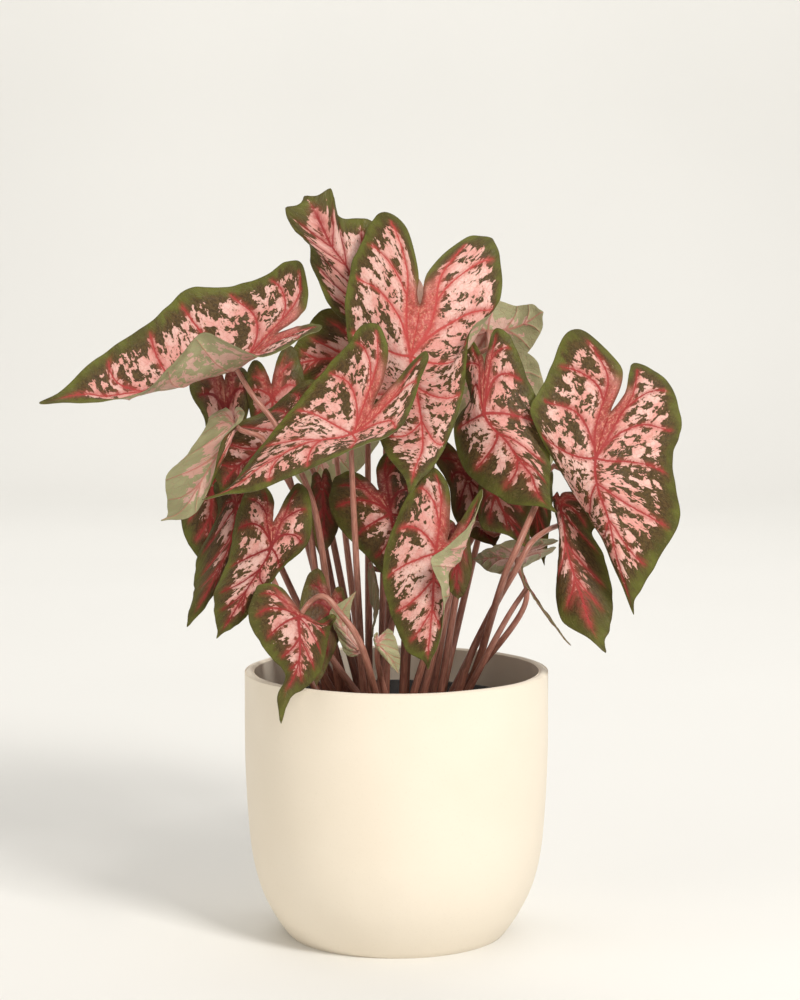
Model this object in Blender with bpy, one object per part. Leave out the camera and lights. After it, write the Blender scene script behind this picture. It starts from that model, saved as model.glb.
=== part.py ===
"""Caladium in a round ceramic pot, standing in its nursery pot, built as named solids.

Units are metres, Z is up and the plant is seen from -Y. The origin is the centre of
the pot's base. Leaves are drawn in the picture plane that stands on the pot's axis:
across and up in millimetres on that plane, and forward along the line of sight.
"""
import math

import bpy
import numpy as np

MM = 0.001
GAP = 0.0004

# Outer pot, from a nominal 15 cm cover pot.
POT_HEIGHT = 0.134
POT_OUTER_RADIUS = 0.0763
POT_WALL = 0.0048
POT_FLOOR = 0.006
POT_PROFILE = (
    (0.0544, 0.0), (0.0572, 0.0032), (0.0635, 0.0130), (0.0693, 0.0260),
    (0.0733, 0.0435), (0.0753, 0.0670), (0.0762, 0.0960), (POT_OUTER_RADIUS, 0.1300),
)
POT_RIM_ROUND = 0.0024
POT_SEGMENTS = 48

# Black nursery pot inside, a tapered plastic tub with a rolled rim.
TUB_TOP = 0.1175
TUB_RIM_RADIUS = 0.0640
TUB_TOP_RADIUS = 0.0615
TUB_FOOT_RADIUS = 0.0450
TUB_WALL = 0.0012
TUB_STAND = POT_FLOOR + GAP
TUB_SEGMENTS = 36

# Potting mix, slightly mounded.
SOIL_TOP = 0.1085
SOIL_MOUND = 0.0030
STEM_DEPTH = 0.0100

# Where the eye stands that the picture plane belongs to.
EYE_DISTANCE = 1.25
EYE_PITCH = math.radians(5.5)
LOOK_HEIGHT = 0.219

BLADE_THICKNESS = 0.0008
BLADE_EDGE = 0.0006
STEM_SIDES = 6
STEM_RINGS = 9
STEM_FOOT_RADIUS = 0.0021
STEM_TOP_RADIUS = 0.0012
STEM_TIP_RADIUS = 0.0007
STEM_TOP_GAP = 0.0008
FOOT_SPACING = 0.0066
FOOT_REACH = 0.0440
HOLE_SLACK = 0.0007
SOIL_FLAT_RADIUS = 0.0500
ROUTE_POINTS = 30
ROUTE_ROUNDS = 12
ROUTE_TURNS = 6
ROUTE_REACH = 0.0080
ROUTE_CLEARANCE = 0.0016

# A flat leaf to stretch: base of the midrib at the origin, tip at -1, lobes at +0.66.
HALF_MARKS = {
    "Q": (0.05, -0.90), "G": (0.17, -0.76), "F": (0.34, -0.46), "E": (0.45, -0.15),
    "D": (0.48, 0.15), "C": (0.44, 0.42), "P": (0.403, 0.564), "A": (0.29, 0.66),
    "O": (0.184, 0.611), "B": (0.11, 0.52), "H": (0.034, 0.37),
    "i": (0.24, 0.32), "j": (0.26, 0.00), "k": (0.20, -0.38), "l": (0.12, -0.62),
}
FLAT_MARKS = {"J": (0.0, 0.0), "M": (0.0, -0.35), "N": (0.0, -0.68), "T": (0.0, -1.0), "S": (0.0, 0.26)}
for mark_name, (mark_x, mark_y) in HALF_MARKS.items():
    FLAT_MARKS["R" + mark_name] = (mark_x, mark_y)
    FLAT_MARKS["L" + mark_name] = (-mark_x, mark_y)
MARGIN_ORDER = ("S", "LH", "LB", "LO", "LA", "LP", "LC", "LD", "LE", "LF", "LG", "LQ",
                "T", "RQ", "RG", "RF", "RE", "RD", "RC", "RP", "RA", "RO", "RB", "RH")

# Landmarks of every leaf as (across, up, forward) in millimetres.
LEAVES = {
    "a": {"foot": (-27, 2), "via": ((-38, -20, 10), (-46, 10, 19), (-60, 37, 24), (-72, 52.5, 23)),
          "direct": True, "marks": {
        "J": (-80, 66, 28), "M": (-112, 56, 30), "N": (-146, 51.5, 36), "T": (-178.5, 48.5, 42),
        "S": (-59, 83.5, 24), "LB": (-45, 97, 12), "LA": (-47, 118, 0), "LC": (-62, 114, -4),
        "LD": (-82, 107, -4), "LE": (-105, 105, 2), "LF": (-122, 90, 12), "LG": (-150, 71, 28),
        "RB": (-46, 87.5, 31), "RA": (-37, 87, 35), "RC": (-48, 81, 42), "RD": (-68, 71.5, 50),
        "RE": (-95, 83.5, 54), "RF": (-113, 66, 48), "RG": (-138, 50.5, 43)}},
    "b": {"foot": (-8, 12), "via": ((-5, 40, -42), (-6, 85, -40), (-12, 100, -27)), "marks": {
        "J": (-20, 107, -8), "M": (-28, 121, -12), "N": (-36, 134, -14), "T": (-46, 152, -12),
        "RD": (-43, 119, -18), "RC": (-38, 107, -16), "RA": (-28, 91.5, -8), "RE": (-43.5, 127.5, -15),
        "RG": (-55.5, 146, -10), "LG": (-33, 156, -16), "LF": (-29, 141.5, -20),
        "LE": (-13, 140, -22), "LD": (0, 125, -20), "LA": (4, 92, -14), "S": (-14, 95, -8)}},
    "c": {"foot": (3, 2), "marks": {
        "J": (7.3, 72, 18), "M": (11, 50, 22), "N": (13, 25, 32), "T": (6.5, 3.5, 40),
        "S": (11.8, 98, 10), "LB": (11.1, 113, 5), "LA": (-6, 144, -8), "LC": (-16, 132, -4),
        "LD": (-22.5, 117, 0), "LE": (-25.5, 94, 6), "LF": (-19, 58, 10), "LG": (-6.5, 26, 28),
        "RB": (15.0, 113, 5), "RA": (38, 132.5, -8), "RC": (51, 125, -6), "RD": (52, 100, 0),
        "RE": (38, 87, 25), "Rj": (37, 77, 17), "RF": (34, 57, 24), "RG": (22, 22, 32),
        "LO": (5.3, 135.5, -4), "LP": (-12.5, 140, -7), "RO": (27, 126, -3), "RP": (46, 131, -8)}},
    "d": {"foot": (-16, -8), "marks": {
        "J": (-22, 33, 44), "M": (-46, 28, 52), "N": (-71, 14, 58), "T": (-97, 0, 58),
        "S": (-11, 48, 37), "LB": (-4, 73, 28), "LA": (-10, 88.5, 24), "LC": (-22, 81, 22),
        "LD": (-34, 67.5, 24), "LE": (-48, 51, 32), "LF": (-66, 29, 44), "LG": (-84, 6, 54),
        "RB": (3, 63, 33), "RA": (15, 75, 33), "RC": (12, 60, 37), "RD": (3, 37, 42),
        "RE": (-17, 27.5, 54), "RF": (-42, 16, 61), "RG": (-70, 4.5, 63)}},
    "e": {"foot": (-16, 4), "fused": True, "marks": {
        "J": (-37, 6, -2), "T": (-38, -30, 4), "LA": (-41, 14, -6), "RA": (-35, 16, -6),
        "LD": (-43, 4, -4), "LF": (-43, -14, 0), "RD": (-31, 4, -4), "RF": (-29, -14, 0)}},
    "f": {"foot": (16, 2), "via": ((30, -36, -16), (50, 2, -30), (51, 24, -20)), "marks": {
        "J": (44, 43.5, 20), "M": (55, 29.5, 26), "N": (68, 11.5, 33), "T": (80, -6.5, 38),
        "S": (44, 68, 12), "LB": (42, 74, 10), "LA": (37, 80, 8), "LC": (32.5, 67, 6),
        "LD": (37, 51, 11), "LE": (29, 38, 6), "LF": (35, 14, 14), "LG": (56, -1.5, 27),
        "RB": (46, 77, 10), "RA": (50, 86, 8), "RC": (59.5, 77, 10), "RD": (65, 62, 14),
        "RE": (74, 42, 18), "RF": (77, 18, 26), "RG": (76.5, 3, 34)}},
    "g": {"foot": (30, -2), "via": ((52, -42, 30), (60, -24, 35), (70, -2, 22), (79, 17.5, 8)), "marks": {
        "J": (99.8, 21, 30), "M": (102, 2, 38), "N": (109, -24, 42), "T": (118.8, -58, 36),
        "S": (107, 44, 24), "LB": (113, 65, 18), "LA": (92.5, 85, 10), "LC": (79, 71, 14),
        "LD": (71.5, 54, 23), "LE": (67.5, 42, 27), "LF": (88, 5, 28), "LG": (105.5, -25, 32),
        "Lk": (95, -5, 30), "RB": (116, 60, 14), "RA": (120, 68.5, 6), "RC": (138, 56, 6),
        "RD": (142, 36, 10), "RE": (138, 18, 18), "RF": (141, -12, 22), "RG": (124, -42, 34)}},
    "h": {"foot": (14, 16), "via": ((17, 10, -30), (24, 50, -33), (28, 72, -28)), "marks": {
        "J": (46, 84, -22), "T": (73.5, 94, -20), "RD": (52, 60, -24), "RF": (66, 74, -22),
        "RG": (73, 86, -20), "LD": (38, 104, -30), "LF": (60, 97, -26), "LG": (68, 98, -22),
        "S": (40, 82, -24), "LA": (26, 96, -30), "RA": (34, 66, -28)}},
    "i": {"foot": (26, -14),
          "via": ((48, -58, 14), (60, -35, 26), (67, -22, 24), (74, -16, 13), (80, -13, 4), (85.5, -10.5, 4)),
          "direct": True, "marks": {
        "J": (82.5, -5.5, 15), "M": (86, -28, 21), "N": (93.5, -51, 30), "T": (104.8, -76.5, 32),
        "LA": (79, 1.5, 10), "LC": (78.5, -2, 11), "LD": (80.5, -11, 11),
        "LE": (83, -25, 14), "LF": (80, -41, 22), "LG": (84, -62, 28),
        "RB": (87, 4, 13), "RA": (103, -1, 9), "RC": (108, -9, 12), "RD": (98, -15.5, 19),
        "RE": (103, -26, 18), "RF": (108, -46, 24), "RG": (107, -64, 29)}},
    "k": {"foot": (27, -22), "fused": True, "coarse": True, "marks": {
        "J": (66, -43, 44), "T": (87, -73, 40), "LA": (62.5, -33, 52), "RA": (62.5, -33.5, 36),
        "LD": (64.5, -42, 56), "RD": (64.5, -42, 32), "LF": (74, -55.5, 52), "RF": (74, -55, 34),
        "M": (73, -54.5, 43)}},
    "l": {"foot": (22, 8), "marks": {
        "J": (60, -29, 1), "M": (50, -28.5, 1), "T": (38, -29.5, -2), "S": (68, -25.5, 1),
        "RD": (62, -19.5, 13), "RF": (46, -24, 11), "RA": (81, -20.5, 9), "RC": (74, -19.5, 13),
        "LD": (62, -34.5, -16), "LF": (46, -35.5, -13), "LA": (80, -24, -8)}},
    "m": {"foot": (4, -24), "marks": {
        "J": (20, -27, 46), "M": (18.5, -46, 51), "N": (17, -66, 53), "T": (15.8, -84.5, 52),
        "S": (26, -20, 43), "LB": (27, 2, 32), "LA": (19.5, 16, 26), "LC": (9, 8, 28),
        "LD": (-1, -12, 34), "LE": (-6.8, -34, 39), "LF": (-3.5, -55, 44), "LG": (6, -76, 49),
        "RB": (33, -9, 42), "RA": (42.8, 5.5, 42), "RC": (38, -10, 49), "Ri": (37, -17, 46),
        "RD": (26, -22.5, 58), "RE": (17, -30, 60), "Rj": (32, -31, 51), "Rk": (27, -45, 53),
        "RF": (22.5, -46, 60), "RG": (22, -70, 54)}},
    "n": {"foot": (-6, -14), "marks": {
        "J": (-3, -7, 22), "M": (-1, -22, 26), "T": (3, -52, 30), "S": (-9, 5, 16),
        "LB": (-15, 11, 9), "LA": (-24, 14.5, 4), "LC": (-32, 8, 2), "LD": (-33.5, -3, 6),
        "LE": (-26, -17, 12), "LF": (-14, -29, 18), "LG": (-5, -40, 24),
        "RB": (-10, 16, 8), "RA": (-2, 27, 6), "RC": (8, 22, 2), "RD": (13, 5, 8),
        "RE": (15, -12, 12), "RF": (12, -30, 18)}},
    "o": {"foot": (-24, -14), "marks": {
        "J": (-62.5, -24, 47), "M": (-71, -39, 50), "N": (-80.5, -55, 55), "T": (-90, -69.5, 51),
        "S": (-61.5, -11, 41), "LB": (-61, -1, 35), "LA": (-66, 7, 28), "LC": (-76, 3, 26),
        "LD": (-81, -12, 30), "LE": (-84, -30, 37), "LF": (-91, -46, 45), "LG": (-90.5, -60, 49),
        "RB": (-57, -2, 35), "RA": (-49, 8.5, 27), "RC": (-42.5, -3, 28), "RD": (-44, -21, 35),
        "RE": (-56, -33, 40), "RF": (-64, -43, 45), "RG": (-79, -62, 48)}},
    "p": {"foot": (-6, -37), "via": ((-17, -74, 54), (-29, -55.5, 57), (-36.5, -48, 57), (-44, -52, 52)),
          "direct": True, "marks": {
        "J": (-48.7, -59, 62), "M": (-48, -74, 70), "N": (-51, -88, 73), "T": (-57.5, -112, 76),
        "S": (-47.5, -56.5, 60), "LB": (-54, -47, 56), "LA": (-62, -42, 55), "LC": (-71, -46, 57),
        "LD": (-74, -58, 59), "LE": (-69, -70, 63), "LF": (-62, -79.5, 67), "LG": (-55.5, -90, 71),
        "LQ": (-59.6, -100.5, 74), "RQ": (-52.6, -99.3, 74),
        "RB": (-40, -60.5, 55), "RA": (-31.5, -57, 48), "RC": (-32, -62, 49), "RD": (-34, -69, 54),
        "RE": (-35.7, -78.5, 60), "RF": (-38.5, -87, 65), "RG": (-47, -95, 70)}},
    "q": {"foot": (-8, -26), "marks": {
        "J": (-33, -57, 30), "T": (-40, -93.5, 53), "LA": (-39, -34, 28), "LC": (-46, -42, 29),
        "LD": (-48.5, -54, 34), "LF": (-47, -76, 44), "RD": (-26, -60, 24), "RF": (-33, -80, 42),
        "RA": (-27, -44, 22)}},
    "r": {"foot": (-33, -4), "marks": {
        "J": (-80, -4, 7), "M": (-83, -22, 17), "N": (-93, -43, 24), "T": (-104.7, -63.5, 26),
        "LD": (-90, -9, 2), "LE": (-99, -27, 5), "LF": (-101, -41, 11), "LG": (-102, -50.5, 19),
        "RD": (-72, -7, 2), "RE": (-76, -24, 6), "RF": (-85.5, -38, 14), "RG": (-94, -51, 21),
        "LQ": (-104, -58.5, 22.5), "RQ": (-98.6, -57.5, 24),
        "LA": (-90, 9, -6), "RA": (-70, 9, -6)}},
    "s": {"foot": (-35, 4), "fused": True,
          "via": ((-42, -20, 6), (-52, 6, 18), (-60, 18, 21), (-67, 31, 22), (-76, 34, 27)),
          "direct": True, "marks": {
        "J": (-80, 37, 14), "M": (-92, 18, 24), "N": (-104, -2, 24), "T": (-117.5, -10.5, 20),
        "RD": (-97, 34, 10), "RE": (-106, 21.5, 10), "RF": (-115, 12, 12), "RG": (-114.5, -4.5, 15),
        "LD": (-87, 30, 24), "LE": (-90.5, 17, 31), "LF": (-95, 3, 31), "LG": (-104, -9, 26),
        "RA": (-90, 44, 6), "LA": (-76, 44, 12), "LC": (-79, 38, 19), "S": (-81, 40.5, 11),
        "RB": (-85, 46, 7), "LB": (-79.5, 46.5, 9)}},
    "t": {"foot": (-33, 14), "fused": True, "marks": {
        "J": (-92, 8, -14), "T": (-92, -40, -8), "LD": (-108, 0, -22), "LE": (-107.5, -12, -18),
        "LF": (-104, -22, -14), "LG": (-97, -32, -10), "RD": (-80, 0, -18), "RE": (-80, -14, -16),
        "RF": (-84, -28, -12), "LA": (-100, 18, -26), "RA": (-85, 19, -24)}},
    "u": {"foot": (-26, 20), "marks": {
        "J": (-85, 41, -10), "T": (-86, 20, -14), "S": (-86, 60, -22), "LA": (-95, 68, -28),
        "RA": (-79, 67, -26), "LC": (-103, 59, -26), "LD": (-102.5, 52, -22), "LE": (-96.5, 42, -16),
        "RD": (-72.5, 56, -20), "RE": (-74, 45, -16), "LF": (-95, 32, -14), "RF": (-78, 32, -16)}},
    "v": {"foot": (-22, 6), "marks": {
        "J": (-58, 34, 8), "T": (-88, 3, 12), "LA": (-40, 60, -2), "LC": (-52, 55.5, -4),
        "LD": (-63, 46, -4), "LE": (-78, 39, -2), "LF": (-90, 32, -1), "LG": (-92, 15, 5),
        "RA": (-28, 46, 8), "RD": (-44, 22, 9), "RF": (-70, 7, 11), "M": (-72, 22, 8)}},
    "w1": {"foot": (-14, 18), "marks": {
        "J": (-12, 70, -19), "T": (-55, 64, -21), "LE": (-36, 95.5, -27), "LD": (-22, 92, -27),
        "LF": (-46, 85, -25), "LG": (-52, 75, -22), "RF": (-44, 57, -21), "RE": (-30, 52, -21),
        "RD": (-12, 50, -23), "LA": (-8, 80, -27), "RA": (4, 58, -25), "M": (-30, 71, -18)}},
    "w2": {"foot": (-18, 10), "via": ((-38, 0, -16), (-54, 32, -27)), "marks": {
        "J": (-62, 50, -10), "T": (-66, 26, -12), "S": (-62.5, 58, -12), "LA": (-71, 70, -18),
        "LD": (-75, 54, -16), "LE": (-73, 42, -14), "RA": (-55, 77.5, -16), "RB": (-60, 69, -14),
        "RC": (-49, 71, -16), "RD": (-46, 58, -14), "RE": (-50, 42, -14)}},
    "x1": {"foot": (10, 8), "fused": True, "marks": {
        "J": (36, 10, -12), "T": (50, -24, -10), "LA": (23, 30, -20), "LC": (19, 20, -20),
        "LD": (26, 8, -16), "LE": (28, -6, -14), "LF": (34, -16, -12), "RA": (42, 24, -20),
        "RD": (50, 6, -18), "RF": (52, -12, -12)}},
    "x2": {"foot": (20, -12), "via": ((32, -36, 4), (38, -12, 1)), "marks": {
        "J": (50, 2, 8), "T": (66.5, -25.5, 19), "LA": (44, 14, 0), "RA": (60, 16, 0),
        "LD": (41, -9, 8), "LE": (44, -15, 12), "LF": (54, -17, 15), "RD": (68, 4, 4),
        "RE": (67.5, -7, 10), "RF": (66.5, -17, 15)}},
    "y1": {"foot": (-14, -34), "fused": True, "coarse": True, "look": "young_leaf", "marks": {
        "J": (-19, -74, 39), "T": (-20, -45.5, 39), "RE": (-31.5, -63, 36), "LE": (-22, -63, 37),
        "RG": (-31, -53, 39), "LG": (-23, -56, 39), "RA": (-24, -78, 36), "LA": (-15, -79, 37)}},
    "y2": {"foot": (-2, -32), "fused": True, "coarse": True, "look": "young_leaf", "marks": {
        "J": (-9, -72, 50), "T": (1, -87, 52), "LA": (-10, -66, 46), "RA": (-4, -64.5, 44),
        "RD": (0, -70, 48), "LD": (-11, -72, 48), "LF": (-5, -80, 52), "RF": (2, -79, 50)}},
    "y3": {"foot": (-12, -20), "fused": True, "coarse": True, "look": "young_leaf", "marks": {
        "J": (-12, -34, 12), "T": (-12.5, -69, 16), "LE": (-12.5, -52, 8), "RE": (-9, -50, 18),
        "M": (-9.5, -45, 15), "LA": (-14, -32, 8), "RA": (-12, -31, 14)}},
    "z": {"foot": (24, 14), "fused": True, "coarse": True, "marks": {
        "J": (69, 6, -32), "T": (74, -33, -26), "LD": (58, 2, -38), "RD": (78, 0, -36),
        "LF": (65, -14, -32), "RF": (76, -18, -30), "LA": (62, 20, -40), "RA": (76, 18, -40)}},
    "mr": {"foot": (10, -16), "fused": True, "coarse": True, "marks": {
        "J": (30, -18, 32), "T": (31, -50, 36), "RD": (37, -22, 30), "RE": (38, -34, 32),
        "RF": (35.5, -44, 34), "LD": (22, -22, 30), "LF": (25, -42, 34), "LA": (26, -10, 28),
        "RA": (34, -11, 28)}},
    "bk1": {"foot": (4, 30), "marks": {
        "J": (14, 92, -58), "T": (12, 36, -84), "LD": (44, 90, -66), "RD": (-18, 92, -66),
        "LA": (34, 118, -48), "RA": (-2, 120, -48), "LF": (32, 62, -82), "RF": (-10, 60, -82)}},
    "bk2": {"foot": (-16, 32), "marks": {
        "J": (-30, 48, -96), "T": (-44, 2, -122), "LD": (-6, 40, -104), "RD": (-55, 54, -98),
        "LA": (-14, 68, -88), "RA": (-42, 72, -86), "LF": (-20, 14, -118), "RF": (-56, 24, -114)}},
    "bk3": {"foot": (22, 30), "marks": {
        "J": (50, 46, -80), "T": (62, 2, -104), "LD": (76, 50, -84), "RD": (28, 40, -86),
        "LA": (64, 74, -72), "RA": (36, 70, -72), "LF": (78, 20, -98), "RF": (40, 16, -100)}},
}

COLORS = {
    "pot": (0.86, 0.80, 0.68), "nursery_pot": (0.02, 0.02, 0.02), "soil": (0.055, 0.035, 0.022),
    "leaf": (0.62, 0.30, 0.27), "young_leaf": (0.50, 0.38, 0.27), "stalk": (0.30, 0.085, 0.07),
}
ROUGHNESS = {
    "pot": 0.75, "nursery_pot": 0.45, "soil": 0.95, "leaf": 0.5, "young_leaf": 0.5, "stalk": 0.45,
}


def clear_scene():
    for thing in list(bpy.data.objects):
        bpy.data.objects.remove(thing, do_unlink=True)


def material(name):
    made = bpy.data.materials.get(name)
    if made is None:
        made = bpy.data.materials.new(name)
        made.use_nodes = True
        shader = made.node_tree.nodes["Principled BSDF"]
        shader.inputs["Base Color"].default_value = (*COLORS[name], 1.0)
        shader.inputs["Roughness"].default_value = ROUGHNESS[name]
        shader.inputs["Metallic"].default_value = 0.0
    return made


def sight(points):
    """Turns rows of (across, up, forward) in millimetres into places in metres."""
    rows = np.asarray(points, dtype=float) * MM
    plane = np.zeros_like(rows)
    plane[:, 0] = rows[:, 0]
    plane[:, 1] = rows[:, 1] * math.sin(EYE_PITCH)
    plane[:, 2] = LOOK_HEIGHT + rows[:, 1] * math.cos(EYE_PITCH)
    eye = np.array((0.0, -EYE_DISTANCE * math.cos(EYE_PITCH),
                    LOOK_HEIGHT + EYE_DISTANCE * math.sin(EYE_PITCH)))
    toward = eye - plane
    reach = np.linalg.norm(toward, axis=1, keepdims=True)
    return plane + toward * (rows[:, 2:3] / reach)


def spline_kernel(first, second):
    gap = np.linalg.norm(first[:, None, :] - second[None, :, :], axis=2)
    return np.where(gap > 0.0, gap * gap * np.log(gap + 1e-12), 0.0)


def stretch(flat_marks, solid_marks, flat_points):
    """Thin-plate spline that carries the flat leaf onto its landmarks."""
    count = len(flat_marks)
    system = np.zeros((count + 3, count + 3))
    system[:count, :count] = spline_kernel(flat_marks, flat_marks) + np.eye(count) * 1e-4
    system[:count, count] = 1.0
    system[:count, count + 1:] = flat_marks
    system[count, :count] = 1.0
    system[count + 1:, :count] = flat_marks.T
    right = np.zeros((count + 3, 3))
    right[:count] = solid_marks
    weights = np.linalg.solve(system, right)
    rows = np.hstack((spline_kernel(flat_points, flat_marks),
                      np.ones((len(flat_points), 1)), flat_points))
    return rows @ weights


def closed_curve(points, share):
    """Smooth curve through a ring of points; share says how many pieces each span gets."""
    ring = np.asarray(points, dtype=float)
    count = len(ring)
    places = []
    for index in range(count):
        before, here = ring[index - 1], ring[index]
        after, beyond = ring[(index + 1) % count], ring[(index + 2) % count]
        for step in range(share[index]):
            t = step / share[index]
            places.append(0.5 * (2 * here + (after - before) * t
                                 + (2 * before - 5 * here + 4 * after - beyond) * t * t
                                 + (3 * here - before - 3 * after + beyond) * t ** 3))
    return np.array(places)


def flat_leaf(coarse):
    """Fan of rings from the midrib's base out to the margin, in the flat leaf."""
    corners = [FLAT_MARKS[name] for name in MARGIN_ORDER]
    share = [1] * len(corners)
    if not coarse:
        for name in ("RF", "RE", "RD", "LC", "LD", "LE"):
            share[MARGIN_ORDER.index(name)] = 2
    margin = closed_curve(corners, share)
    rim = len(margin)
    shares = (0.36, 0.7, 1.0) if not coarse else (0.5, 1.0)
    inner = margin[::2] * shares[0]
    rings = [inner] + [margin * part for part in shares[1:]]
    points = np.vstack([np.zeros((1, 2))] + rings)
    faces = []
    small = len(inner)
    for index in range(small):
        faces.append((0, 1 + index, 1 + (index + 1) % small))
    start = 1 + small
    for index in range(small):
        own = 1 + index
        following = 1 + (index + 1) % small
        first = start + 2 * index
        second = start + (2 * index + 1) % rim
        third = start + (2 * index + 2) % rim
        faces.extend(((own, first, second), (own, second, following), (following, second, third)))
    for level in range(len(shares) - 2):
        near = start + level * rim
        far = near + rim
        for index in range(rim):
            other = (index + 1) % rim
            faces.append((near + index, far + index, far + other))
            faces.append((near + index, far + other, near + other))
    return points, faces, start + (len(shares) - 2) * rim, rim


def leaf_marks(leaf):
    names = list(leaf["marks"])
    flat = np.array([FLAT_MARKS[name] for name in names])
    solid = np.array([leaf["marks"][name] for name in names], dtype=float)
    return flat, solid


def vertex_normals(points, faces):
    normals = np.zeros_like(points)
    corners = np.array(faces)
    edge_a = points[corners[:, 1]] - points[corners[:, 0]]
    edge_b = points[corners[:, 2]] - points[corners[:, 0]]
    face_normals = np.cross(edge_a, edge_b)
    for column in range(3):
        np.add.at(normals, corners[:, column], face_normals)
    return normals / np.linalg.norm(normals, axis=1, keepdims=True)


def blade_sheet(leaf):
    flat, faces, rim_start, rim = flat_leaf(leaf.get("coarse", False))
    marks_flat, marks_solid = leaf_marks(leaf)
    middle = sight(stretch(marks_flat, marks_solid, flat))
    return middle, faces, rim_start, rim


def blade_solid(leaf):
    """Gives the blade a thickness, with both faces split into triangles alike."""
    middle, faces, rim_start, rim = blade_sheet(leaf)
    normals = vertex_normals(middle, faces)
    count = len(middle)
    half = np.full((count, 1), BLADE_THICKNESS / 2.0)
    half[rim_start:] = BLADE_EDGE / 2.0
    points = np.vstack((middle + normals * half, middle - normals * half))
    solid = [tuple(face) for face in faces]
    solid += [tuple(corner + count for corner in reversed(face)) for face in faces]
    for index in range(rim):
        here = rim_start + index
        there = rim_start + (index + 1) % rim
        solid.append((here, there + count, there))
        solid.append((here, here + count, there + count))
    return points, solid, normals[0]


def smooth_route(stops, steps):
    """Even samples of a Catmull-Rom curve through the stops of a leaf stalk."""
    path = np.asarray(stops, dtype=float)
    padded = np.vstack((2 * path[0] - path[1], path, 2 * path[-1] - path[-2]))
    dense = []
    for index in range(1, len(padded) - 2):
        before, here, after, beyond = padded[index - 1:index + 3]
        for t in np.linspace(0.0, 1.0, 24, endpoint=False):
            dense.append(0.5 * (2 * here + (after - before) * t
                                + (2 * before - 5 * here + 4 * after - beyond) * t * t
                                + (3 * here - before - 3 * after + beyond) * t ** 3))
    dense.append(path[-1])
    dense = np.array(dense)
    lengths = np.concatenate(((0.0,), np.cumsum(np.linalg.norm(np.diff(dense, axis=0), axis=1))))
    wanted = np.linspace(0.0, lengths[-1], steps)
    return np.column_stack([np.interp(wanted, lengths, dense[:, axis]) for axis in range(3)])


def spread_feet():
    """Moves the stalks' feet apart until each has a hole of its own in the mix."""
    names = list(LEAVES)
    feet = np.array([LEAVES[name]["foot"] for name in names], dtype=float) * MM
    for _ in range(400):
        apart = feet[:, None, :] - feet[None, :, :]
        far = np.linalg.norm(apart, axis=2) + np.eye(len(names))
        lack = np.clip(FOOT_SPACING - far, 0.0, None) * (1.0 - np.eye(len(names)))
        feet += (apart / far[:, :, None] * lack[:, :, None]).sum(axis=1) * 0.3
        reach = np.linalg.norm(feet, axis=1, keepdims=True)
        feet *= np.minimum(1.0, FOOT_REACH / np.maximum(reach, 1e-9))
    return dict(zip(names, feet))


def stem_stops(leaf, foot, middle, normal):
    """Places the stalk passes: above its hole in the mix, its bends, the blade's underside."""
    top = middle[0] - normal * (BLADE_THICKNESS / 2.0 + STEM_TOP_GAP)
    if leaf.get("fused"):
        top = middle[0] - normal * BLADE_THICKNESS * 0.2
    start = np.array((foot[0], foot[1], SOIL_TOP + 0.0015))
    stops = [start]
    if "via" in leaf:
        stops.extend(sight(leaf["via"]))
    if not leaf.get("direct"):
        reach = min(0.020, 0.22 * np.linalg.norm(top - start))
        stops.append(top - normal * reach * 0.75 - np.array((0.0, 0.0, reach * 0.65)))
    stops.append(top)
    return stops


def blade_cloud(leaf):
    """Points spread over a blade, for the stalks to keep clear of."""
    corners = [FLAT_MARKS[name] for name in MARGIN_ORDER]
    margin = closed_curve(corners, [2] * len(corners))
    flat = np.vstack([margin * part for part in np.linspace(0.12, 1.0, 9)])
    marks_flat, marks_solid = leaf_marks(leaf)
    return sight(stretch(marks_flat, marks_solid, flat))


def near_blockers(path, name, routes, clouds, radius):
    """Blade points and stalk points close enough to matter to one stalk."""
    places = np.vstack([clouds[other] for other in clouds] + [routes[other] for other in routes])
    owners = np.concatenate([np.full(len(clouds[other]), other == name) for other in clouds]
                            + [np.full(ROUTE_POINTS, 2 * (other == name)) for other in routes])
    sizes = np.concatenate([np.zeros(len(clouds[other])) for other in clouds] + [radius] * len(routes))
    far = np.linalg.norm(path[:, None, :] - places[None, :, :], axis=2).min(axis=0)
    close = (far < ROUTE_REACH) & (owners != 2)
    return places[close], owners[close], sizes[close]


def clear_routes(starts, clouds):
    """Lets every stalk give way to the blades and to the other stalks."""
    names = list(starts)
    wanted = {name: smooth_route(starts[name], ROUTE_POINTS) for name in names}
    routes = dict(wanted)
    span = np.linspace(0.0, 1.0, ROUTE_POINTS)
    radius = STEM_FOOT_RADIUS + (STEM_TOP_RADIUS - STEM_FOOT_RADIUS) * span
    hold = np.clip(np.minimum(span * 6.0, (1.0 - span) * 6.0), 0.0, 1.0)[:, None]
    for _ in range(ROUTE_ROUNDS):
        for name in names:
            path = routes[name]
            places, owners, sizes = near_blockers(path, name, routes, clouds, radius)
            own_top = (span > 0.72)[:, None] & (owners == 1)[None, :]
            for _ in range(ROUTE_TURNS):
                apart = path[:, None, :] - places[None, :, :]
                far = np.linalg.norm(apart, axis=2) + 1e-9
                lack = np.clip(radius[:, None] + sizes + ROUTE_CLEARANCE - far, 0.0, None)
                lack[own_top] = 0.0
                pushes = apart / far[:, :, None] * lack[:, :, None]
                push = (pushes.max(axis=1, initial=0.0) + pushes.min(axis=1, initial=0.0)) * 0.4
                stray = path - wanted[name]
                ease = np.zeros_like(path)
                ease[1:-1] = (stray[:-2] + stray[2:] - 2.0 * stray[1:-1]) * 0.3
                path = path + (push + ease) * hold
            routes[name] = path
    return routes


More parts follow.
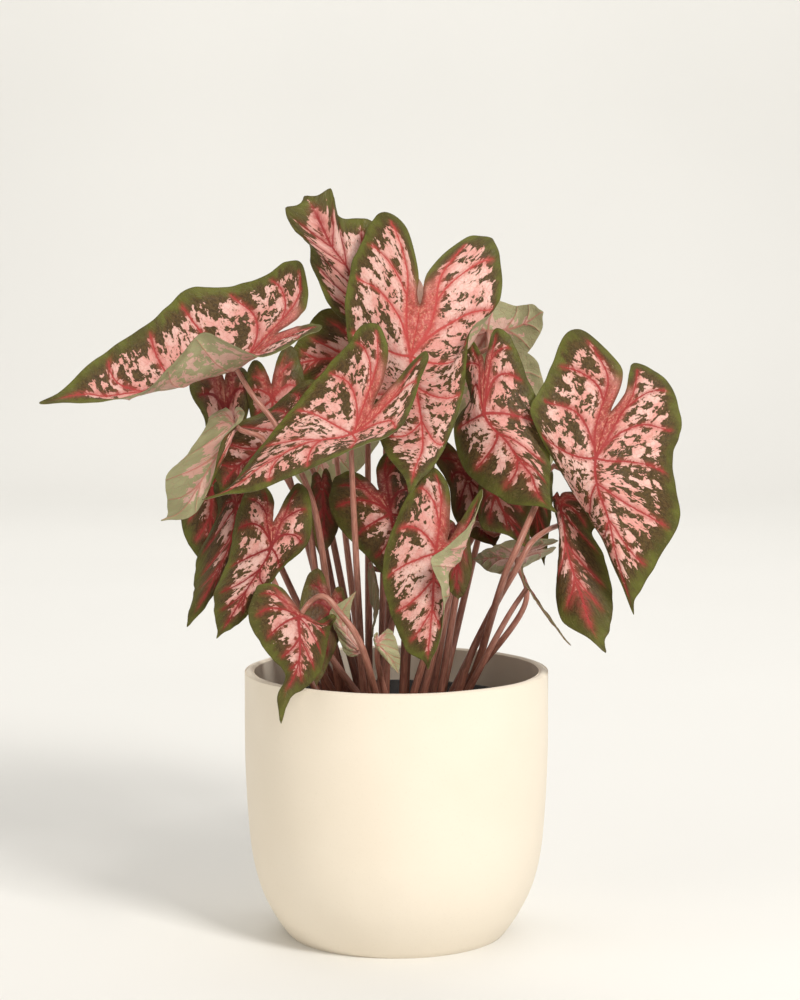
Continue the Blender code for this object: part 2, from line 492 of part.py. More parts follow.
def tube(path, radii, sides):
    """Closed tube along a path, with flat ends."""
    count = len(path)
    points = []
    guide = np.array((1.0, 0.0, 0.0))
    for index in range(count):
        ahead = path[min(index + 1, count - 1)] - path[max(index - 1, 0)]
        ahead = ahead / np.linalg.norm(ahead)
        guide = guide - ahead * (guide @ ahead)
        guide = guide / np.linalg.norm(guide)
        side = np.cross(ahead, guide)
        for corner in range(sides):
            angle = 2.0 * math.pi * corner / sides
            points.append(path[index] + radii[index] * (guide * math.cos(angle) + side * math.sin(angle)))
    faces = []
    for index in range(count - 1):
        for corner in range(sides):
            a = index * sides + corner
            b = index * sides + (corner + 1) % sides
            faces.append((a, b, b + sides))
            faces.append((a, b + sides, a + sides))
    faces.append(tuple(reversed(range(sides))))
    faces.append(tuple(range((count - 1) * sides, count * sides)))
    return np.array(points), faces


def stem_solid(leaf, foot, route):
    rings = STEM_RINGS if not leaf.get("coarse") else STEM_RINGS - 2
    upper = smooth_route(route, rings)
    path = np.vstack(((foot[0], foot[1], SOIL_TOP - STEM_DEPTH), upper))
    share = np.concatenate(((0.0,), np.linspace(0.0, 1.0, rings)))
    radii = STEM_FOOT_RADIUS + (STEM_TOP_RADIUS - STEM_FOOT_RADIUS) * share
    radii[-1] = STEM_TIP_RADIUS
    return tube(path, radii, STEM_SIDES)


def add_solid(name, points, faces, look):
    mesh = bpy.data.meshes.new(name)
    mesh.from_pydata([tuple(point) for point in points], [], [tuple(face) for face in faces])
    mesh.validate()
    mesh.update()
    made = bpy.data.objects.new(name, mesh)
    bpy.context.scene.collection.objects.link(made)
    mesh.materials.append(material(look))
    mesh.shade_smooth()
    mesh.set_sharp_from_angle(angle=math.radians(50.0))
    return made


def turned(name, profile, segments, look):
    """Body of revolution from a profile that starts and ends on the axis."""
    points = [(0.0, 0.0, profile[0][1])]
    for radius, height in profile[1:-1]:
        for index in range(segments):
            angle = 2.0 * math.pi * index / segments
            points.append((radius * math.cos(angle), radius * math.sin(angle), height))
    points.append((0.0, 0.0, profile[-1][1]))
    last = len(points) - 1
    rings = len(profile) - 2
    faces = []
    for index in range(segments):
        other = (index + 1) % segments
        faces.append((0, 1 + other, 1 + index))
        faces.append((last, 1 + (rings - 1) * segments + index, 1 + (rings - 1) * segments + other))
        for ring in range(rings - 1):
            low = 1 + ring * segments
            high = low + segments
            faces.append((low + index, low + other, high + other, high + index))
    return add_solid(name, points, faces, look)


def pot_profile():
    rim_inner = POT_OUTER_RADIUS - POT_WALL
    profile = [(0.0, 0.0)] + list(POT_PROFILE)
    middle = (POT_OUTER_RADIUS + rim_inner) / 2.0
    for degrees in (30, 60, 90, 120, 150):
        angle = math.radians(degrees)
        profile.append((middle + (POT_WALL / 2.0) * math.cos(angle),
                        POT_HEIGHT - POT_RIM_ROUND + POT_RIM_ROUND * math.sin(angle)))
    profile.append((rim_inner, 0.1300))
    for radius, height in reversed(POT_PROFILE[2:-1]):
        profile.append((radius - POT_WALL, max(height, POT_FLOOR + 0.006)))
    profile.append((0.0500, POT_FLOOR))
    profile.append((0.0, POT_FLOOR))
    return profile


def tub_profile():
    lip = TUB_TOP - 0.006
    inner_foot = TUB_FOOT_RADIUS - TUB_WALL
    return [
        (0.0, TUB_STAND), (TUB_FOOT_RADIUS - 0.001, TUB_STAND), (TUB_FOOT_RADIUS, TUB_STAND + 0.0015),
        (TUB_TOP_RADIUS, lip), (TUB_RIM_RADIUS, lip + 0.0004), (TUB_RIM_RADIUS, TUB_TOP - 0.0006),
        (TUB_RIM_RADIUS - 0.0008, TUB_TOP), (TUB_TOP_RADIUS - TUB_WALL + 0.0006, TUB_TOP),
        (TUB_TOP_RADIUS - TUB_WALL, TUB_TOP - 0.0008), (inner_foot, TUB_STAND + TUB_WALL),
        (0.0, TUB_STAND + TUB_WALL),
    ]


def tub_inner_radius(height):
    low = TUB_STAND + TUB_WALL
    high = TUB_TOP - 0.0008
    share = (height - low) / (high - low)
    foot = TUB_FOOT_RADIUS - TUB_WALL
    return foot + (TUB_TOP_RADIUS - TUB_WALL - foot) * share


def soil_body(feet):
    """Potting mix that fills the tub, with a plain hole for every stalk."""
    bottom = TUB_STAND + TUB_WALL + GAP
    edge = SOIL_TOP - SOIL_MOUND
    profile = [
        (0.0, bottom), (tub_inner_radius(bottom) - 2 * GAP, bottom),
        (tub_inner_radius(edge) - 2 * GAP, edge), (SOIL_FLAT_RADIUS, SOIL_TOP), (0.0, SOIL_TOP),
    ]
    mix = turned("soil", profile, TUB_SEGMENTS, "soil")
    points, faces = [], []
    for foot in feet.values():
        hole_radius = STEM_FOOT_RADIUS + HOLE_SLACK
        ends = np.array(((foot[0], foot[1], SOIL_TOP - STEM_DEPTH - GAP),
                         (foot[0], foot[1], SOIL_TOP + 0.004)))
        hole_points, hole_faces = tube(ends, (hole_radius, hole_radius), STEM_SIDES)
        faces.extend(tuple(corner + len(points) for corner in face) for face in hole_faces)
        points.extend(hole_points)
    cutter = add_solid("soil_holes", points, faces, "soil")
    cutter.hide_render = True
    cutter.display_type = "WIRE"
    carve = mix.modifiers.new("holes", "BOOLEAN")
    carve.operation = "DIFFERENCE"
    carve.solver = "EXACT"
    carve.object = cutter
    return mix


def add_leaf(name, leaf, foot, route, sheet):
    look = leaf.get("look", "leaf")
    points, faces, _ = sheet
    stem_points, stem_faces = stem_solid(leaf, foot, route)
    if not leaf.get("fused"):
        add_solid("leaf_" + name, points, faces, look)
        add_solid("stem_" + name, stem_points, stem_faces, "stalk")
        return
    whole = add_solid("leaf_" + name, points, faces, look)
    stalk = add_solid("joined_" + name, stem_points, stem_faces, look)
    stalk.hide_render = True
    stalk.display_type = "WIRE"
    join = whole.modifiers.new("stalk", "BOOLEAN")
    join.operation = "UNION"
    join.solver = "EXACT"
    join.object = stalk


def plan_leaves():
    """Blades first, then stalks that find their way between them."""
    feet = spread_feet()
    sheets, starts, clouds = {}, {}, {}
    for name, leaf in LEAVES.items():
        sheets[name] = blade_solid(leaf)
        middle = blade_sheet(leaf)[0]
        starts[name] = stem_stops(leaf, feet[name], middle, sheets[name][2])
        clouds[name] = blade_cloud(leaf)
    return feet, sheets, clear_routes(starts, clouds)


def build():
    clear_scene()
    turned("pot", pot_profile(), POT_SEGMENTS, "pot")
    turned("nursery_pot", tub_profile(), TUB_SEGMENTS, "nursery_pot")
    feet, sheets, routes = plan_leaves()
    soil_body(feet)
    for name, leaf in LEAVES.items():
        add_leaf(name, leaf, feet[name], routes[name], sheets[name])


if __name__ == "__main__":
    build()
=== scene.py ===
"""Looks for the potted caladium: dense patterned leaves, stalks, pot, mix, light and camera.

Units are metres. The leaf table and the shape functions are the same as in the part's source,
so every leaf and stalk lies where its solid lies. Leaf fields are stored as point attributes
in millimetres, and the leaf material turns them into margins, blotches and veins.
"""

import math

import bpy
import numpy as np
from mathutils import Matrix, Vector, noise
from mathutils.geometry import delaunay_2d_cdt


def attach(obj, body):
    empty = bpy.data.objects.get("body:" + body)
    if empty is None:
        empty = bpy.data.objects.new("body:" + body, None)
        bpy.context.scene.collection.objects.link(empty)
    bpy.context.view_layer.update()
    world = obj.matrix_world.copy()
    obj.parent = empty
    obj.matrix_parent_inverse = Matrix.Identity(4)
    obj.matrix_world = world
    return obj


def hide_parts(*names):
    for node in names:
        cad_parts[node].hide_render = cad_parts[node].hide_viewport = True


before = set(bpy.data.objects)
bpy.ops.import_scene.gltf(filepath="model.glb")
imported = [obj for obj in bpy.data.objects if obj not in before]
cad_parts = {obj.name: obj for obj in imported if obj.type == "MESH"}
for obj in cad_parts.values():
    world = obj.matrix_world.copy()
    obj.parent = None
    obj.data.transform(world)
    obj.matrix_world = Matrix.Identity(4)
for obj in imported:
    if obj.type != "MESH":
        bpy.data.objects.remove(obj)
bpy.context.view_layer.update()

MM = 0.001
GAP = 0.0004

# Outer pot, from a nominal 15 cm cover pot.
POT_HEIGHT = 0.134
POT_OUTER_RADIUS = 0.0763
POT_WALL = 0.0048
POT_FLOOR = 0.006
POT_FLOOR_RADIUS = 0.0500
POT_FLOOR_ROUND = 0.006
POT_STRAIGHT_TOP = 0.1300
POT_PROFILE = (
    (0.0544, 0.0), (0.0572, 0.0032), (0.0635, 0.0130), (0.0693, 0.0260),
    (0.0733, 0.0435), (0.0753, 0.0670), (0.0762, 0.0960), (POT_OUTER_RADIUS, POT_STRAIGHT_TOP),
)
POT_RIM_ROUND = 0.0024
POT_STEP = 0.0012
POT_SIDES = 192

# Black nursery pot inside, a tapered plastic tub with a rolled rim.
TUB_TOP = 0.1175
TUB_RIM_RADIUS = 0.0640
TUB_TOP_RADIUS = 0.0615
TUB_FOOT_RADIUS = 0.0450
TUB_WALL = 0.0012
TUB_LIP = 0.006
TUB_RIM_ROUND = 0.0008
TUB_STAND = POT_FLOOR + GAP
TUB_SIDES = 96

# Potting mix, slightly mounded, with loose crumbs on top.
SOIL_TOP = 0.1085
SOIL_MOUND = 0.0030
SOIL_FLAT_RADIUS = 0.0500
SOIL_SINK = 0.0006
SOIL_SIDES = 150
SOIL_RINGS = 52
SOIL_LUMPS = ((55.0, 0.0016), (160.0, 0.0013))
SOIL_GRIT = (420.0, 0.0007)
CRUMB_COUNT = 520
CRUMB_SIZES = (0.0005, 0.0019)
CRUMB_STALK_ROOM = 0.0036
MIX_SEED = 41

GOLDEN = (1.0 + math.sqrt(5.0)) / 2.0
CRUMB_CORNERS = [tuple(value / math.sqrt(1.0 + GOLDEN * GOLDEN) for value in row) for row in (
    (-1, GOLDEN, 0), (1, GOLDEN, 0), (-1, -GOLDEN, 0), (1, -GOLDEN, 0),
    (0, -1, GOLDEN), (0, 1, GOLDEN), (0, -1, -GOLDEN), (0, 1, -GOLDEN),
    (GOLDEN, 0, -1), (GOLDEN, 0, 1), (-GOLDEN, 0, -1), (-GOLDEN, 0, 1))]
CRUMB_FACES = (
    (0, 11, 5), (0, 5, 1), (0, 1, 7), (0, 7, 10), (0, 10, 11), (1, 5, 9), (5, 11, 4),
    (11, 10, 2), (10, 7, 6), (7, 1, 8), (3, 9, 4), (3, 4, 2), (3, 2, 6), (3, 6, 8),
    (3, 8, 9), (4, 9, 5), (2, 4, 11), (6, 2, 10), (8, 6, 7), (9, 8, 1))

# Where the eye stands that the picture plane belongs to.
EYE_DISTANCE = 1.25
EYE_PITCH = math.radians(5.5)
LOOK_HEIGHT = 0.219
EYE_SHIFT = 0.0018

# Blades and stalks of the solids, which the dense ones follow.
BLADE_THICKNESS = 0.0008
STEM_DEPTH = 0.0100
STEM_FOOT_RADIUS = 0.0021
STEM_TOP_RADIUS = 0.0012
STEM_TIP_RADIUS = 0.0007
STEM_TOP_GAP = 0.0008
STEM_RISE = 0.0015
FOOT_SPACING = 0.0066
FOOT_REACH = 0.0440
ROUTE_POINTS = 30
ROUTE_ROUNDS = 12
ROUTE_TURNS = 6
ROUTE_REACH = 0.0080
ROUTE_CLEARANCE = 0.0016

# Dense blades: the cell in millimetres, heights in metres, ripples in flat units, steps in cells.
CELL_MM = 2.1
BLADE_HALF = 0.00026
VEIN_DIP = 0.00022
VEIN_RIDGE = 0.00042
QUILT = 0.00055
WAVE = 0.0007
SMALL_WAVE = 0.0004
RIPPLES = ((9, 0.0035), (17, 0.0028), (31, 0.0018))
RIPPLE_SHARE = 0.7
MARGIN_DENSITY = 1.3
VEIN_STEP = 1.15
ROW_STEP = 0.87
GRID_JITTER = 0.12
GUARD_ROOM = 0.6
PATTERN_NARROW = 0.85

# Dense stalks.
STALK_RINGS = 44
STALK_SIDES = 14
STALK_SWELL = 0.10

# A flat leaf to stretch: base of the midrib at the origin, tip at -1, lobes at +0.66.
HALF_MARKS = {
    "Q": (0.05, -0.90), "G": (0.17, -0.76), "F": (0.34, -0.46), "E": (0.45, -0.15),
    "D": (0.48, 0.15), "C": (0.44, 0.42), "P": (0.403, 0.564), "A": (0.29, 0.66),
    "O": (0.184, 0.611), "B": (0.11, 0.52), "H": (0.034, 0.37),
    "i": (0.24, 0.32), "j": (0.26, 0.00), "k": (0.20, -0.38), "l": (0.12, -0.62),
}
FLAT_MARKS = {"J": (0.0, 0.0), "M": (0.0, -0.35), "N": (0.0, -0.68), "T": (0.0, -1.0),
              "S": (0.0, 0.26)}
for mark_name, (mark_x, mark_y) in HALF_MARKS.items():
    FLAT_MARKS["R" + mark_name] = (mark_x, mark_y)
    FLAT_MARKS["L" + mark_name] = (-mark_x, mark_y)
MARGIN_ORDER = ("S", "LH", "LB", "LO", "LA", "LP", "LC", "LD", "LE", "LF", "LG", "LQ",
                "T", "RQ", "RG", "RF", "RE", "RD", "RC", "RP", "RA", "RO", "RB", "RH")

# Landmarks of every leaf as (across, up, forward) in millimetres.
LEAVES = {
    "a": {"foot": (-27, 2), "via": ((-38, -20, 10), (-46, 10, 19), (-60, 37, 24), (-72, 52.5, 23)),
          "direct": True, "marks": {
        "J": (-80, 66, 28), "M": (-112, 56, 30), "N": (-146, 51.5, 36), "T": (-178.5, 48.5, 42),
        "S": (-59, 83.5, 24), "LB": (-45, 97, 12), "LA": (-47, 118, 0), "LC": (-62, 114, -4),
        "LD": (-82, 107, -4), "LE": (-105, 105, 2), "LF": (-122, 90, 12), "LG": (-150, 71, 28),
        "RB": (-46, 87.5, 31), "RA": (-37, 87, 35), "RC": (-48, 81, 42), "RD": (-68, 71.5, 50),
        "RE": (-95, 83.5, 54), "RF": (-113, 66, 48), "RG": (-138, 50.5, 43)}},
    "b": {"foot": (-8, 12), "via": ((-5, 40, -42), (-6, 85, -40), (-12, 100, -27)), "marks": {
        "J": (-20, 107, -8), "M": (-28, 121, -12), "N": (-36, 134, -14), "T": (-46, 152, -12),
        "RD": (-43, 119, -18), "RC": (-38, 107, -16), "RA": (-28, 91.5, -8), "RE": (-43.5, 127.5, -15),
        "RG": (-55.5, 146, -10), "LG": (-33, 156, -16), "LF": (-29, 141.5, -20),
        "LE": (-13, 140, -22), "LD": (0, 125, -20), "LA": (4, 92, -14), "S": (-14, 95, -8)}},
    "c": {"foot": (3, 2), "marks": {
        "J": (7.3, 72, 18), "M": (11, 50, 22), "N": (13, 25, 32), "T": (6.5, 3.5, 40),
        "S": (11.8, 98, 10), "LB": (11.1, 113, 5), "LA": (-6, 144, -8), "LC": (-16, 132, -4),
        "LD": (-22.5, 117, 0), "LE": (-25.5, 94, 6), "LF": (-19, 58, 10), "LG": (-6.5, 26, 28),
        "RB": (15.0, 113, 5), "RA": (38, 132.5, -8), "RC": (51, 125, -6), "RD": (52, 100, 0),
        "RE": (38, 87, 25), "Rj": (37, 77, 17), "RF": (34, 57, 24), "RG": (22, 22, 32),
        "LO": (5.3, 135.5, -4), "LP": (-12.5, 140, -7), "RO": (27, 126, -3), "RP": (46, 131, -8)}},
    "d": {"foot": (-16, -8), "marks": {
        "J": (-22, 33, 44), "M": (-46, 28, 52), "N": (-71, 14, 58), "T": (-97, 0, 58),
        "S": (-11, 48, 37), "LB": (-4, 73, 28), "LA": (-10, 88.5, 24), "LC": (-22, 81, 22),
        "LD": (-34, 67.5, 24), "LE": (-48, 51, 32), "LF": (-66, 29, 44), "LG": (-84, 6, 54),
        "RB": (3, 63, 33), "RA": (15, 75, 33), "RC": (12, 60, 37), "RD": (3, 37, 42),
        "RE": (-17, 27.5, 54), "RF": (-42, 16, 61), "RG": (-70, 4.5, 63)}},
    "e": {"foot": (-16, 4), "fused": True, "marks": {
        "J": (-37, 6, -2), "T": (-38, -30, 4), "LA": (-41, 14, -6), "RA": (-35, 16, -6),
        "LD": (-43, 4, -4), "LF": (-43, -14, 0), "RD": (-31, 4, -4), "RF": (-29, -14, 0)}},
    "f": {"foot": (16, 2), "via": ((30, -36, -16), (50, 2, -30), (51, 24, -20)), "marks": {
        "J": (44, 43.5, 20), "M": (55, 29.5, 26), "N": (68, 11.5, 33), "T": (80, -6.5, 38),
        "S": (44, 68, 12), "LB": (42, 74, 10), "LA": (37, 80, 8), "LC": (32.5, 67, 6),
        "LD": (37, 51, 11), "LE": (29, 38, 6), "LF": (35, 14, 14), "LG": (56, -1.5, 27),
        "RB": (46, 77, 10), "RA": (50, 86, 8), "RC": (59.5, 77, 10), "RD": (65, 62, 14),
        "RE": (74, 42, 18), "RF": (77, 18, 26), "RG": (76.5, 3, 34)}},
    "g": {"foot": (30, -2), "via": ((52, -42, 30), (60, -24, 35), (70, -2, 22), (79, 17.5, 8)), "marks": {
        "J": (99.8, 21, 30), "M": (102, 2, 38), "N": (109, -24, 42), "T": (118.8, -58, 36),
        "S": (107, 44, 24), "LB": (113, 65, 18), "LA": (92.5, 85, 10), "LC": (79, 71, 14),
        "LD": (71.5, 54, 23), "LE": (67.5, 42, 27), "LF": (88, 5, 28), "LG": (105.5, -25, 32),
        "Lk": (95, -5, 30), "RB": (116, 60, 14), "RA": (120, 68.5, 6), "RC": (138, 56, 6),
        "RD": (142, 36, 10), "RE": (138, 18, 18), "RF": (141, -12, 22), "RG": (124, -42, 34)}},
    "h": {"foot": (14, 16), "via": ((17, 10, -30), (24, 50, -33), (28, 72, -28)), "marks": {
        "J": (46, 84, -22), "T": (73.5, 94, -20), "RD": (52, 60, -24), "RF": (66, 74, -22),
        "RG": (73, 86, -20), "LD": (38, 104, -30), "LF": (60, 97, -26), "LG": (68, 98, -22),
        "S": (40, 82, -24), "LA": (26, 96, -30), "RA": (34, 66, -28)}},
    "i": {"foot": (26, -14),
          "via": ((48, -58, 14), (60, -35, 26), (67, -22, 24), (74, -16, 13), (80, -13, 4), (85.5, -10.5, 4)),
          "direct": True, "marks": {
        "J": (82.5, -5.5, 15), "M": (86, -28, 21), "N": (93.5, -51, 30), "T": (104.8, -76.5, 32),
        "LA": (79, 1.5, 10), "LC": (78.5, -2, 11), "LD": (80.5, -11, 11),
        "LE": (83, -25, 14), "LF": (80, -41, 22), "LG": (84, -62, 28),
        "RB": (87, 4, 13), "RA": (103, -1, 9), "RC": (108, -9, 12), "RD": (98, -15.5, 19),
        "RE": (103, -26, 18), "RF": (108, -46, 24), "RG": (107, -64, 29)}},
    "k": {"foot": (27, -22), "fused": True, "coarse": True, "marks": {
        "J": (66, -43, 44), "T": (87, -73, 40), "LA": (62.5, -33, 52), "RA": (62.5, -33.5, 36),
        "LD": (64.5, -42, 56), "RD": (64.5, -42, 32), "LF": (74, -55.5, 52), "RF": (74, -55, 34),
        "M": (73, -54.5, 43)}},
    "l": {"foot": (22, 8), "marks": {
        "J": (60, -29, 1), "M": (50, -28.5, 1), "T": (38, -29.5, -2), "S": (68, -25.5, 1),
        "RD": (62, -19.5, 13), "RF": (46, -24, 11), "RA": (81, -20.5, 9), "RC": (74, -19.5, 13),
        "LD": (62, -34.5, -16), "LF": (46, -35.5, -13), "LA": (80, -24, -8)}},
    "m": {"foot": (4, -24), "marks": {
        "J": (20, -27, 46), "M": (18.5, -46, 51), "N": (17, -66, 53), "T": (15.8, -84.5, 52),
        "S": (26, -20, 43), "LB": (27, 2, 32), "LA": (19.5, 16, 26), "LC": (9, 8, 28),
        "LD": (-1, -12, 34), "LE": (-6.8, -34, 39), "LF": (-3.5, -55, 44), "LG": (6, -76, 49),
        "RB": (33, -9, 42), "RA": (42.8, 5.5, 42), "RC": (38, -10, 49), "Ri": (37, -17, 46),
        "RD": (26, -22.5, 58), "RE": (17, -30, 60), "Rj": (32, -31, 51), "Rk": (27, -45, 53),
        "RF": (22.5, -46, 60), "RG": (22, -70, 54)}},
    "n": {"foot": (-6, -14), "marks": {
        "J": (-3, -7, 22), "M": (-1, -22, 26), "T": (3, -52, 30), "S": (-9, 5, 16),
        "LB": (-15, 11, 9), "LA": (-24, 14.5, 4), "LC": (-32, 8, 2), "LD": (-33.5, -3, 6),
        "LE": (-26, -17, 12), "LF": (-14, -29, 18), "LG": (-5, -40, 24),
        "RB": (-10, 16, 8), "RA": (-2, 27, 6), "RC": (8, 22, 2), "RD": (13, 5, 8),
        "RE": (15, -12, 12), "RF": (12, -30, 18)}},
    "o": {"foot": (-24, -14), "marks": {
        "J": (-62.5, -24, 47), "M": (-71, -39, 50), "N": (-80.5, -55, 55), "T": (-90, -69.5, 51),
        "S": (-61.5, -11, 41), "LB": (-61, -1, 35), "LA": (-66, 7, 28), "LC": (-76, 3, 26),
        "LD": (-81, -12, 30), "LE": (-84, -30, 37), "LF": (-91, -46, 45), "LG": (-90.5, -60, 49),
        "RB": (-57, -2, 35), "RA": (-49, 8.5, 27), "RC": (-42.5, -3, 28), "RD": (-44, -21, 35),
        "RE": (-56, -33, 40), "RF": (-64, -43, 45), "RG": (-79, -62, 48)}},
    "p": {"foot": (-6, -37), "via": ((-17, -74, 54), (-29, -55.5, 57), (-36.5, -48, 57), (-44, -52, 52)),
          "direct": True, "marks": {
        "J": (-48.7, -59, 62), "M": (-48, -74, 70), "N": (-51, -88, 73), "T": (-57.5, -112, 76),
        "S": (-47.5, -56.5, 60), "LB": (-54, -47, 56), "LA": (-62, -42, 55), "LC": (-71, -46, 57),
        "LD": (-74, -58, 59), "LE": (-69, -70, 63), "LF": (-62, -79.5, 67), "LG": (-55.5, -90, 71),
        "LQ": (-59.6, -100.5, 74), "RQ": (-52.6, -99.3, 74),
        "RB": (-40, -60.5, 55), "RA": (-31.5, -57, 48), "RC": (-32, -62, 49), "RD": (-34, -69, 54),
        "RE": (-35.7, -78.5, 60), "RF": (-38.5, -87, 65), "RG": (-47, -95, 70)}},
    "q": {"foot": (-8, -26), "marks": {
        "J": (-33, -57, 30), "T": (-40, -93.5, 53), "LA": (-39, -34, 28), "LC": (-46, -42, 29),
        "LD": (-48.5, -54, 34), "LF": (-47, -76, 44), "RD": (-26, -60, 24), "RF": (-33, -80, 42),
        "RA": (-27, -44, 22)}},
    "r": {"foot": (-33, -4), "marks": {
        "J": (-80, -4, 7), "M": (-83, -22, 17), "N": (-93, -43, 24), "T": (-104.7, -63.5, 26),
        "LD": (-90, -9, 2), "LE": (-99, -27, 5), "LF": (-101, -41, 11), "LG": (-102, -50.5, 19),
        "RD": (-72, -7, 2), "RE": (-76, -24, 6), "RF": (-85.5, -38, 14), "RG": (-94, -51, 21),
        "LQ": (-104, -58.5, 22.5), "RQ": (-98.6, -57.5, 24),
        "LA": (-90, 9, -6), "RA": (-70, 9, -6)}},
    "s": {"foot": (-35, 4), "fused": True,
          "via": ((-42, -20, 6), (-52, 6, 18), (-60, 18, 21), (-67, 31, 22), (-76, 34, 27)),
          "direct": True, "marks": {
        "J": (-80, 37, 14), "M": (-92, 18, 24), "N": (-104, -2, 24), "T": (-117.5, -10.5, 20),
        "RD": (-97, 34, 10), "RE": (-106, 21.5, 10), "RF": (-115, 12, 12), "RG": (-114.5, -4.5, 15),
        "LD": (-87, 30, 24), "LE": (-90.5, 17, 31), "LF": (-95, 3, 31), "LG": (-104, -9, 26),
        "RA": (-90, 44, 6), "LA": (-76, 44, 12), "LC": (-79, 38, 19), "S": (-81, 40.5, 11),
        "RB": (-85, 46, 7), "LB": (-79.5, 46.5, 9)}},
    "t": {"foot": (-33, 14), "fused": True, "marks": {
        "J": (-92, 8, -14), "T": (-92, -40, -8), "LD": (-108, 0, -22), "LE": (-107.5, -12, -18),
        "LF": (-104, -22, -14), "LG": (-97, -32, -10), "RD": (-80, 0, -18), "RE": (-80, -14, -16),
        "RF": (-84, -28, -12), "LA": (-100, 18, -26), "RA": (-85, 19, -24)}},
    "u": {"foot": (-26, 20), "marks": {
        "J": (-85, 41, -10), "T": (-86, 20, -14), "S": (-86, 60, -22), "LA": (-95, 68, -28),
        "RA": (-79, 67, -26), "LC": (-103, 59, -26), "LD": (-102.5, 52, -22), "LE": (-96.5, 42, -16),
        "RD": (-72.5, 56, -20), "RE": (-74, 45, -16), "LF": (-95, 32, -14), "RF": (-78, 32, -16)}},
    "v": {"foot": (-22, 6), "marks": {
        "J": (-58, 34, 8), "T": (-88, 3, 12), "LA": (-40, 60, -2), "LC": (-52, 55.5, -4),
        "LD": (-63, 46, -4), "LE": (-78, 39, -2), "LF": (-90, 32, -1), "LG": (-92, 15, 5),
        "RA": (-28, 46, 8), "RD": (-44, 22, 9), "RF": (-70, 7, 11), "M": (-72, 22, 8)}},
    "w1": {"foot": (-14, 18), "marks": {
        "J": (-12, 70, -19), "T": (-55, 64, -21), "LE": (-36, 95.5, -27), "LD": (-22, 92, -27),
        "LF": (-46, 85, -25), "LG": (-52, 75, -22), "RF": (-44, 57, -21), "RE": (-30, 52, -21),
        "RD": (-12, 50, -23), "LA": (-8, 80, -27), "RA": (4, 58, -25), "M": (-30, 71, -18)}},
    "w2": {"foot": (-18, 10), "via": ((-38, 0, -16), (-54, 32, -27)), "marks": {
        "J": (-62, 50, -10), "T": (-66, 26, -12), "S": (-62.5, 58, -12), "LA": (-71, 70, -18),
        "LD": (-75, 54, -16), "LE": (-73, 42, -14), "RA": (-55, 77.5, -16), "RB": (-60, 69, -14),
        "RC": (-49, 71, -16), "RD": (-46, 58, -14), "RE": (-50, 42, -14)}},
    "x1": {"foot": (10, 8), "fused": True, "marks": {
        "J": (36, 10, -12), "T": (50, -24, -10), "LA": (23, 30, -20), "LC": (19, 20, -20),
        "LD": (26, 8, -16), "LE": (28, -6, -14), "LF": (34, -16, -12), "RA": (42, 24, -20),
        "RD": (50, 6, -18), "RF": (52, -12, -12)}},
    "x2": {"foot": (20, -12), "via": ((32, -36, 4), (38, -12, 1)), "marks": {
        "J": (50, 2, 8), "T": (66.5, -25.5, 19), "LA": (44, 14, 0), "RA": (60, 16, 0),
        "LD": (41, -9, 8), "LE": (44, -15, 12), "LF": (54, -17, 15), "RD": (68, 4, 4),
        "RE": (67.5, -7, 10), "RF": (66.5, -17, 15)}},
    "y1": {"foot": (-14, -34), "fused": True, "coarse": True, "look": "young_leaf", "marks": {
        "J": (-19, -74, 39), "T": (-20, -45.5, 39), "RE": (-31.5, -63, 36), "LE": (-22, -63, 37),
        "RG": (-31, -53, 39), "LG": (-23, -56, 39), "RA": (-24, -78, 36), "LA": (-15, -79, 37)}},
    "y2": {"foot": (-2, -32), "fused": True, "coarse": True, "look": "young_leaf", "marks": {
        "J": (-9, -72, 50), "T": (1, -87, 52), "LA": (-10, -66, 46), "RA": (-4, -64.5, 44),
        "RD": (0, -70, 48), "LD": (-11, -72, 48), "LF": (-5, -80, 52), "RF": (2, -79, 50)}},
    "y3": {"foot": (-12, -20), "fused": True, "coarse": True, "look": "young_leaf", "marks": {
        "J": (-12, -34, 12), "T": (-12.5, -69, 16), "LE": (-12.5, -52, 8), "RE": (-9, -50, 18),
        "M": (-9.5, -45, 15), "LA": (-14, -32, 8), "RA": (-12, -31, 14)}},
    "z": {"foot": (24, 14), "fused": True, "coarse": True, "marks": {
        "J": (69, 6, -32), "T": (74, -33, -26), "LD": (58, 2, -38), "RD": (78, 0, -36),
        "LF": (65, -14, -32), "RF": (76, -18, -30), "LA": (62, 20, -40), "RA": (76, 18, -40)}},
    "mr": {"foot": (10, -16), "fused": True, "coarse": True, "marks": {
        "J": (30, -18, 32), "T": (31, -50, 36), "RD": (37, -22, 30), "RE": (38, -34, 32),
        "RF": (35.5, -44, 34), "LD": (22, -22, 30), "LF": (25, -42, 34), "LA": (26, -10, 28),
        "RA": (34, -11, 28)}},
    "bk1": {"foot": (4, 30), "marks": {
        "J": (14, 92, -58), "T": (12, 36, -84), "LD": (44, 90, -66), "RD": (-18, 92, -66),
        "LA": (34, 118, -48), "RA": (-2, 120, -48), "LF": (32, 62, -82), "RF": (-10, 60, -82)}},
    "bk2": {"foot": (-16, 32), "marks": {
        "J": (-30, 48, -96), "T": (-44, 2, -122), "LD": (-6, 40, -104), "RD": (-55, 54, -98),
        "LA": (-14, 68, -88), "RA": (-42, 72, -86), "LF": (-20, 14, -118), "RF": (-56, 24, -114)}},
    "bk3": {"foot": (22, 30), "marks": {
        "J": (50, 46, -80), "T": (62, 2, -104), "LD": (76, 50, -84), "RD": (28, 40, -86),
        "LA": (64, 74, -72), "RA": (36, 70, -72), "LF": (78, 20, -98), "RF": (40, 16, -100)}},
}

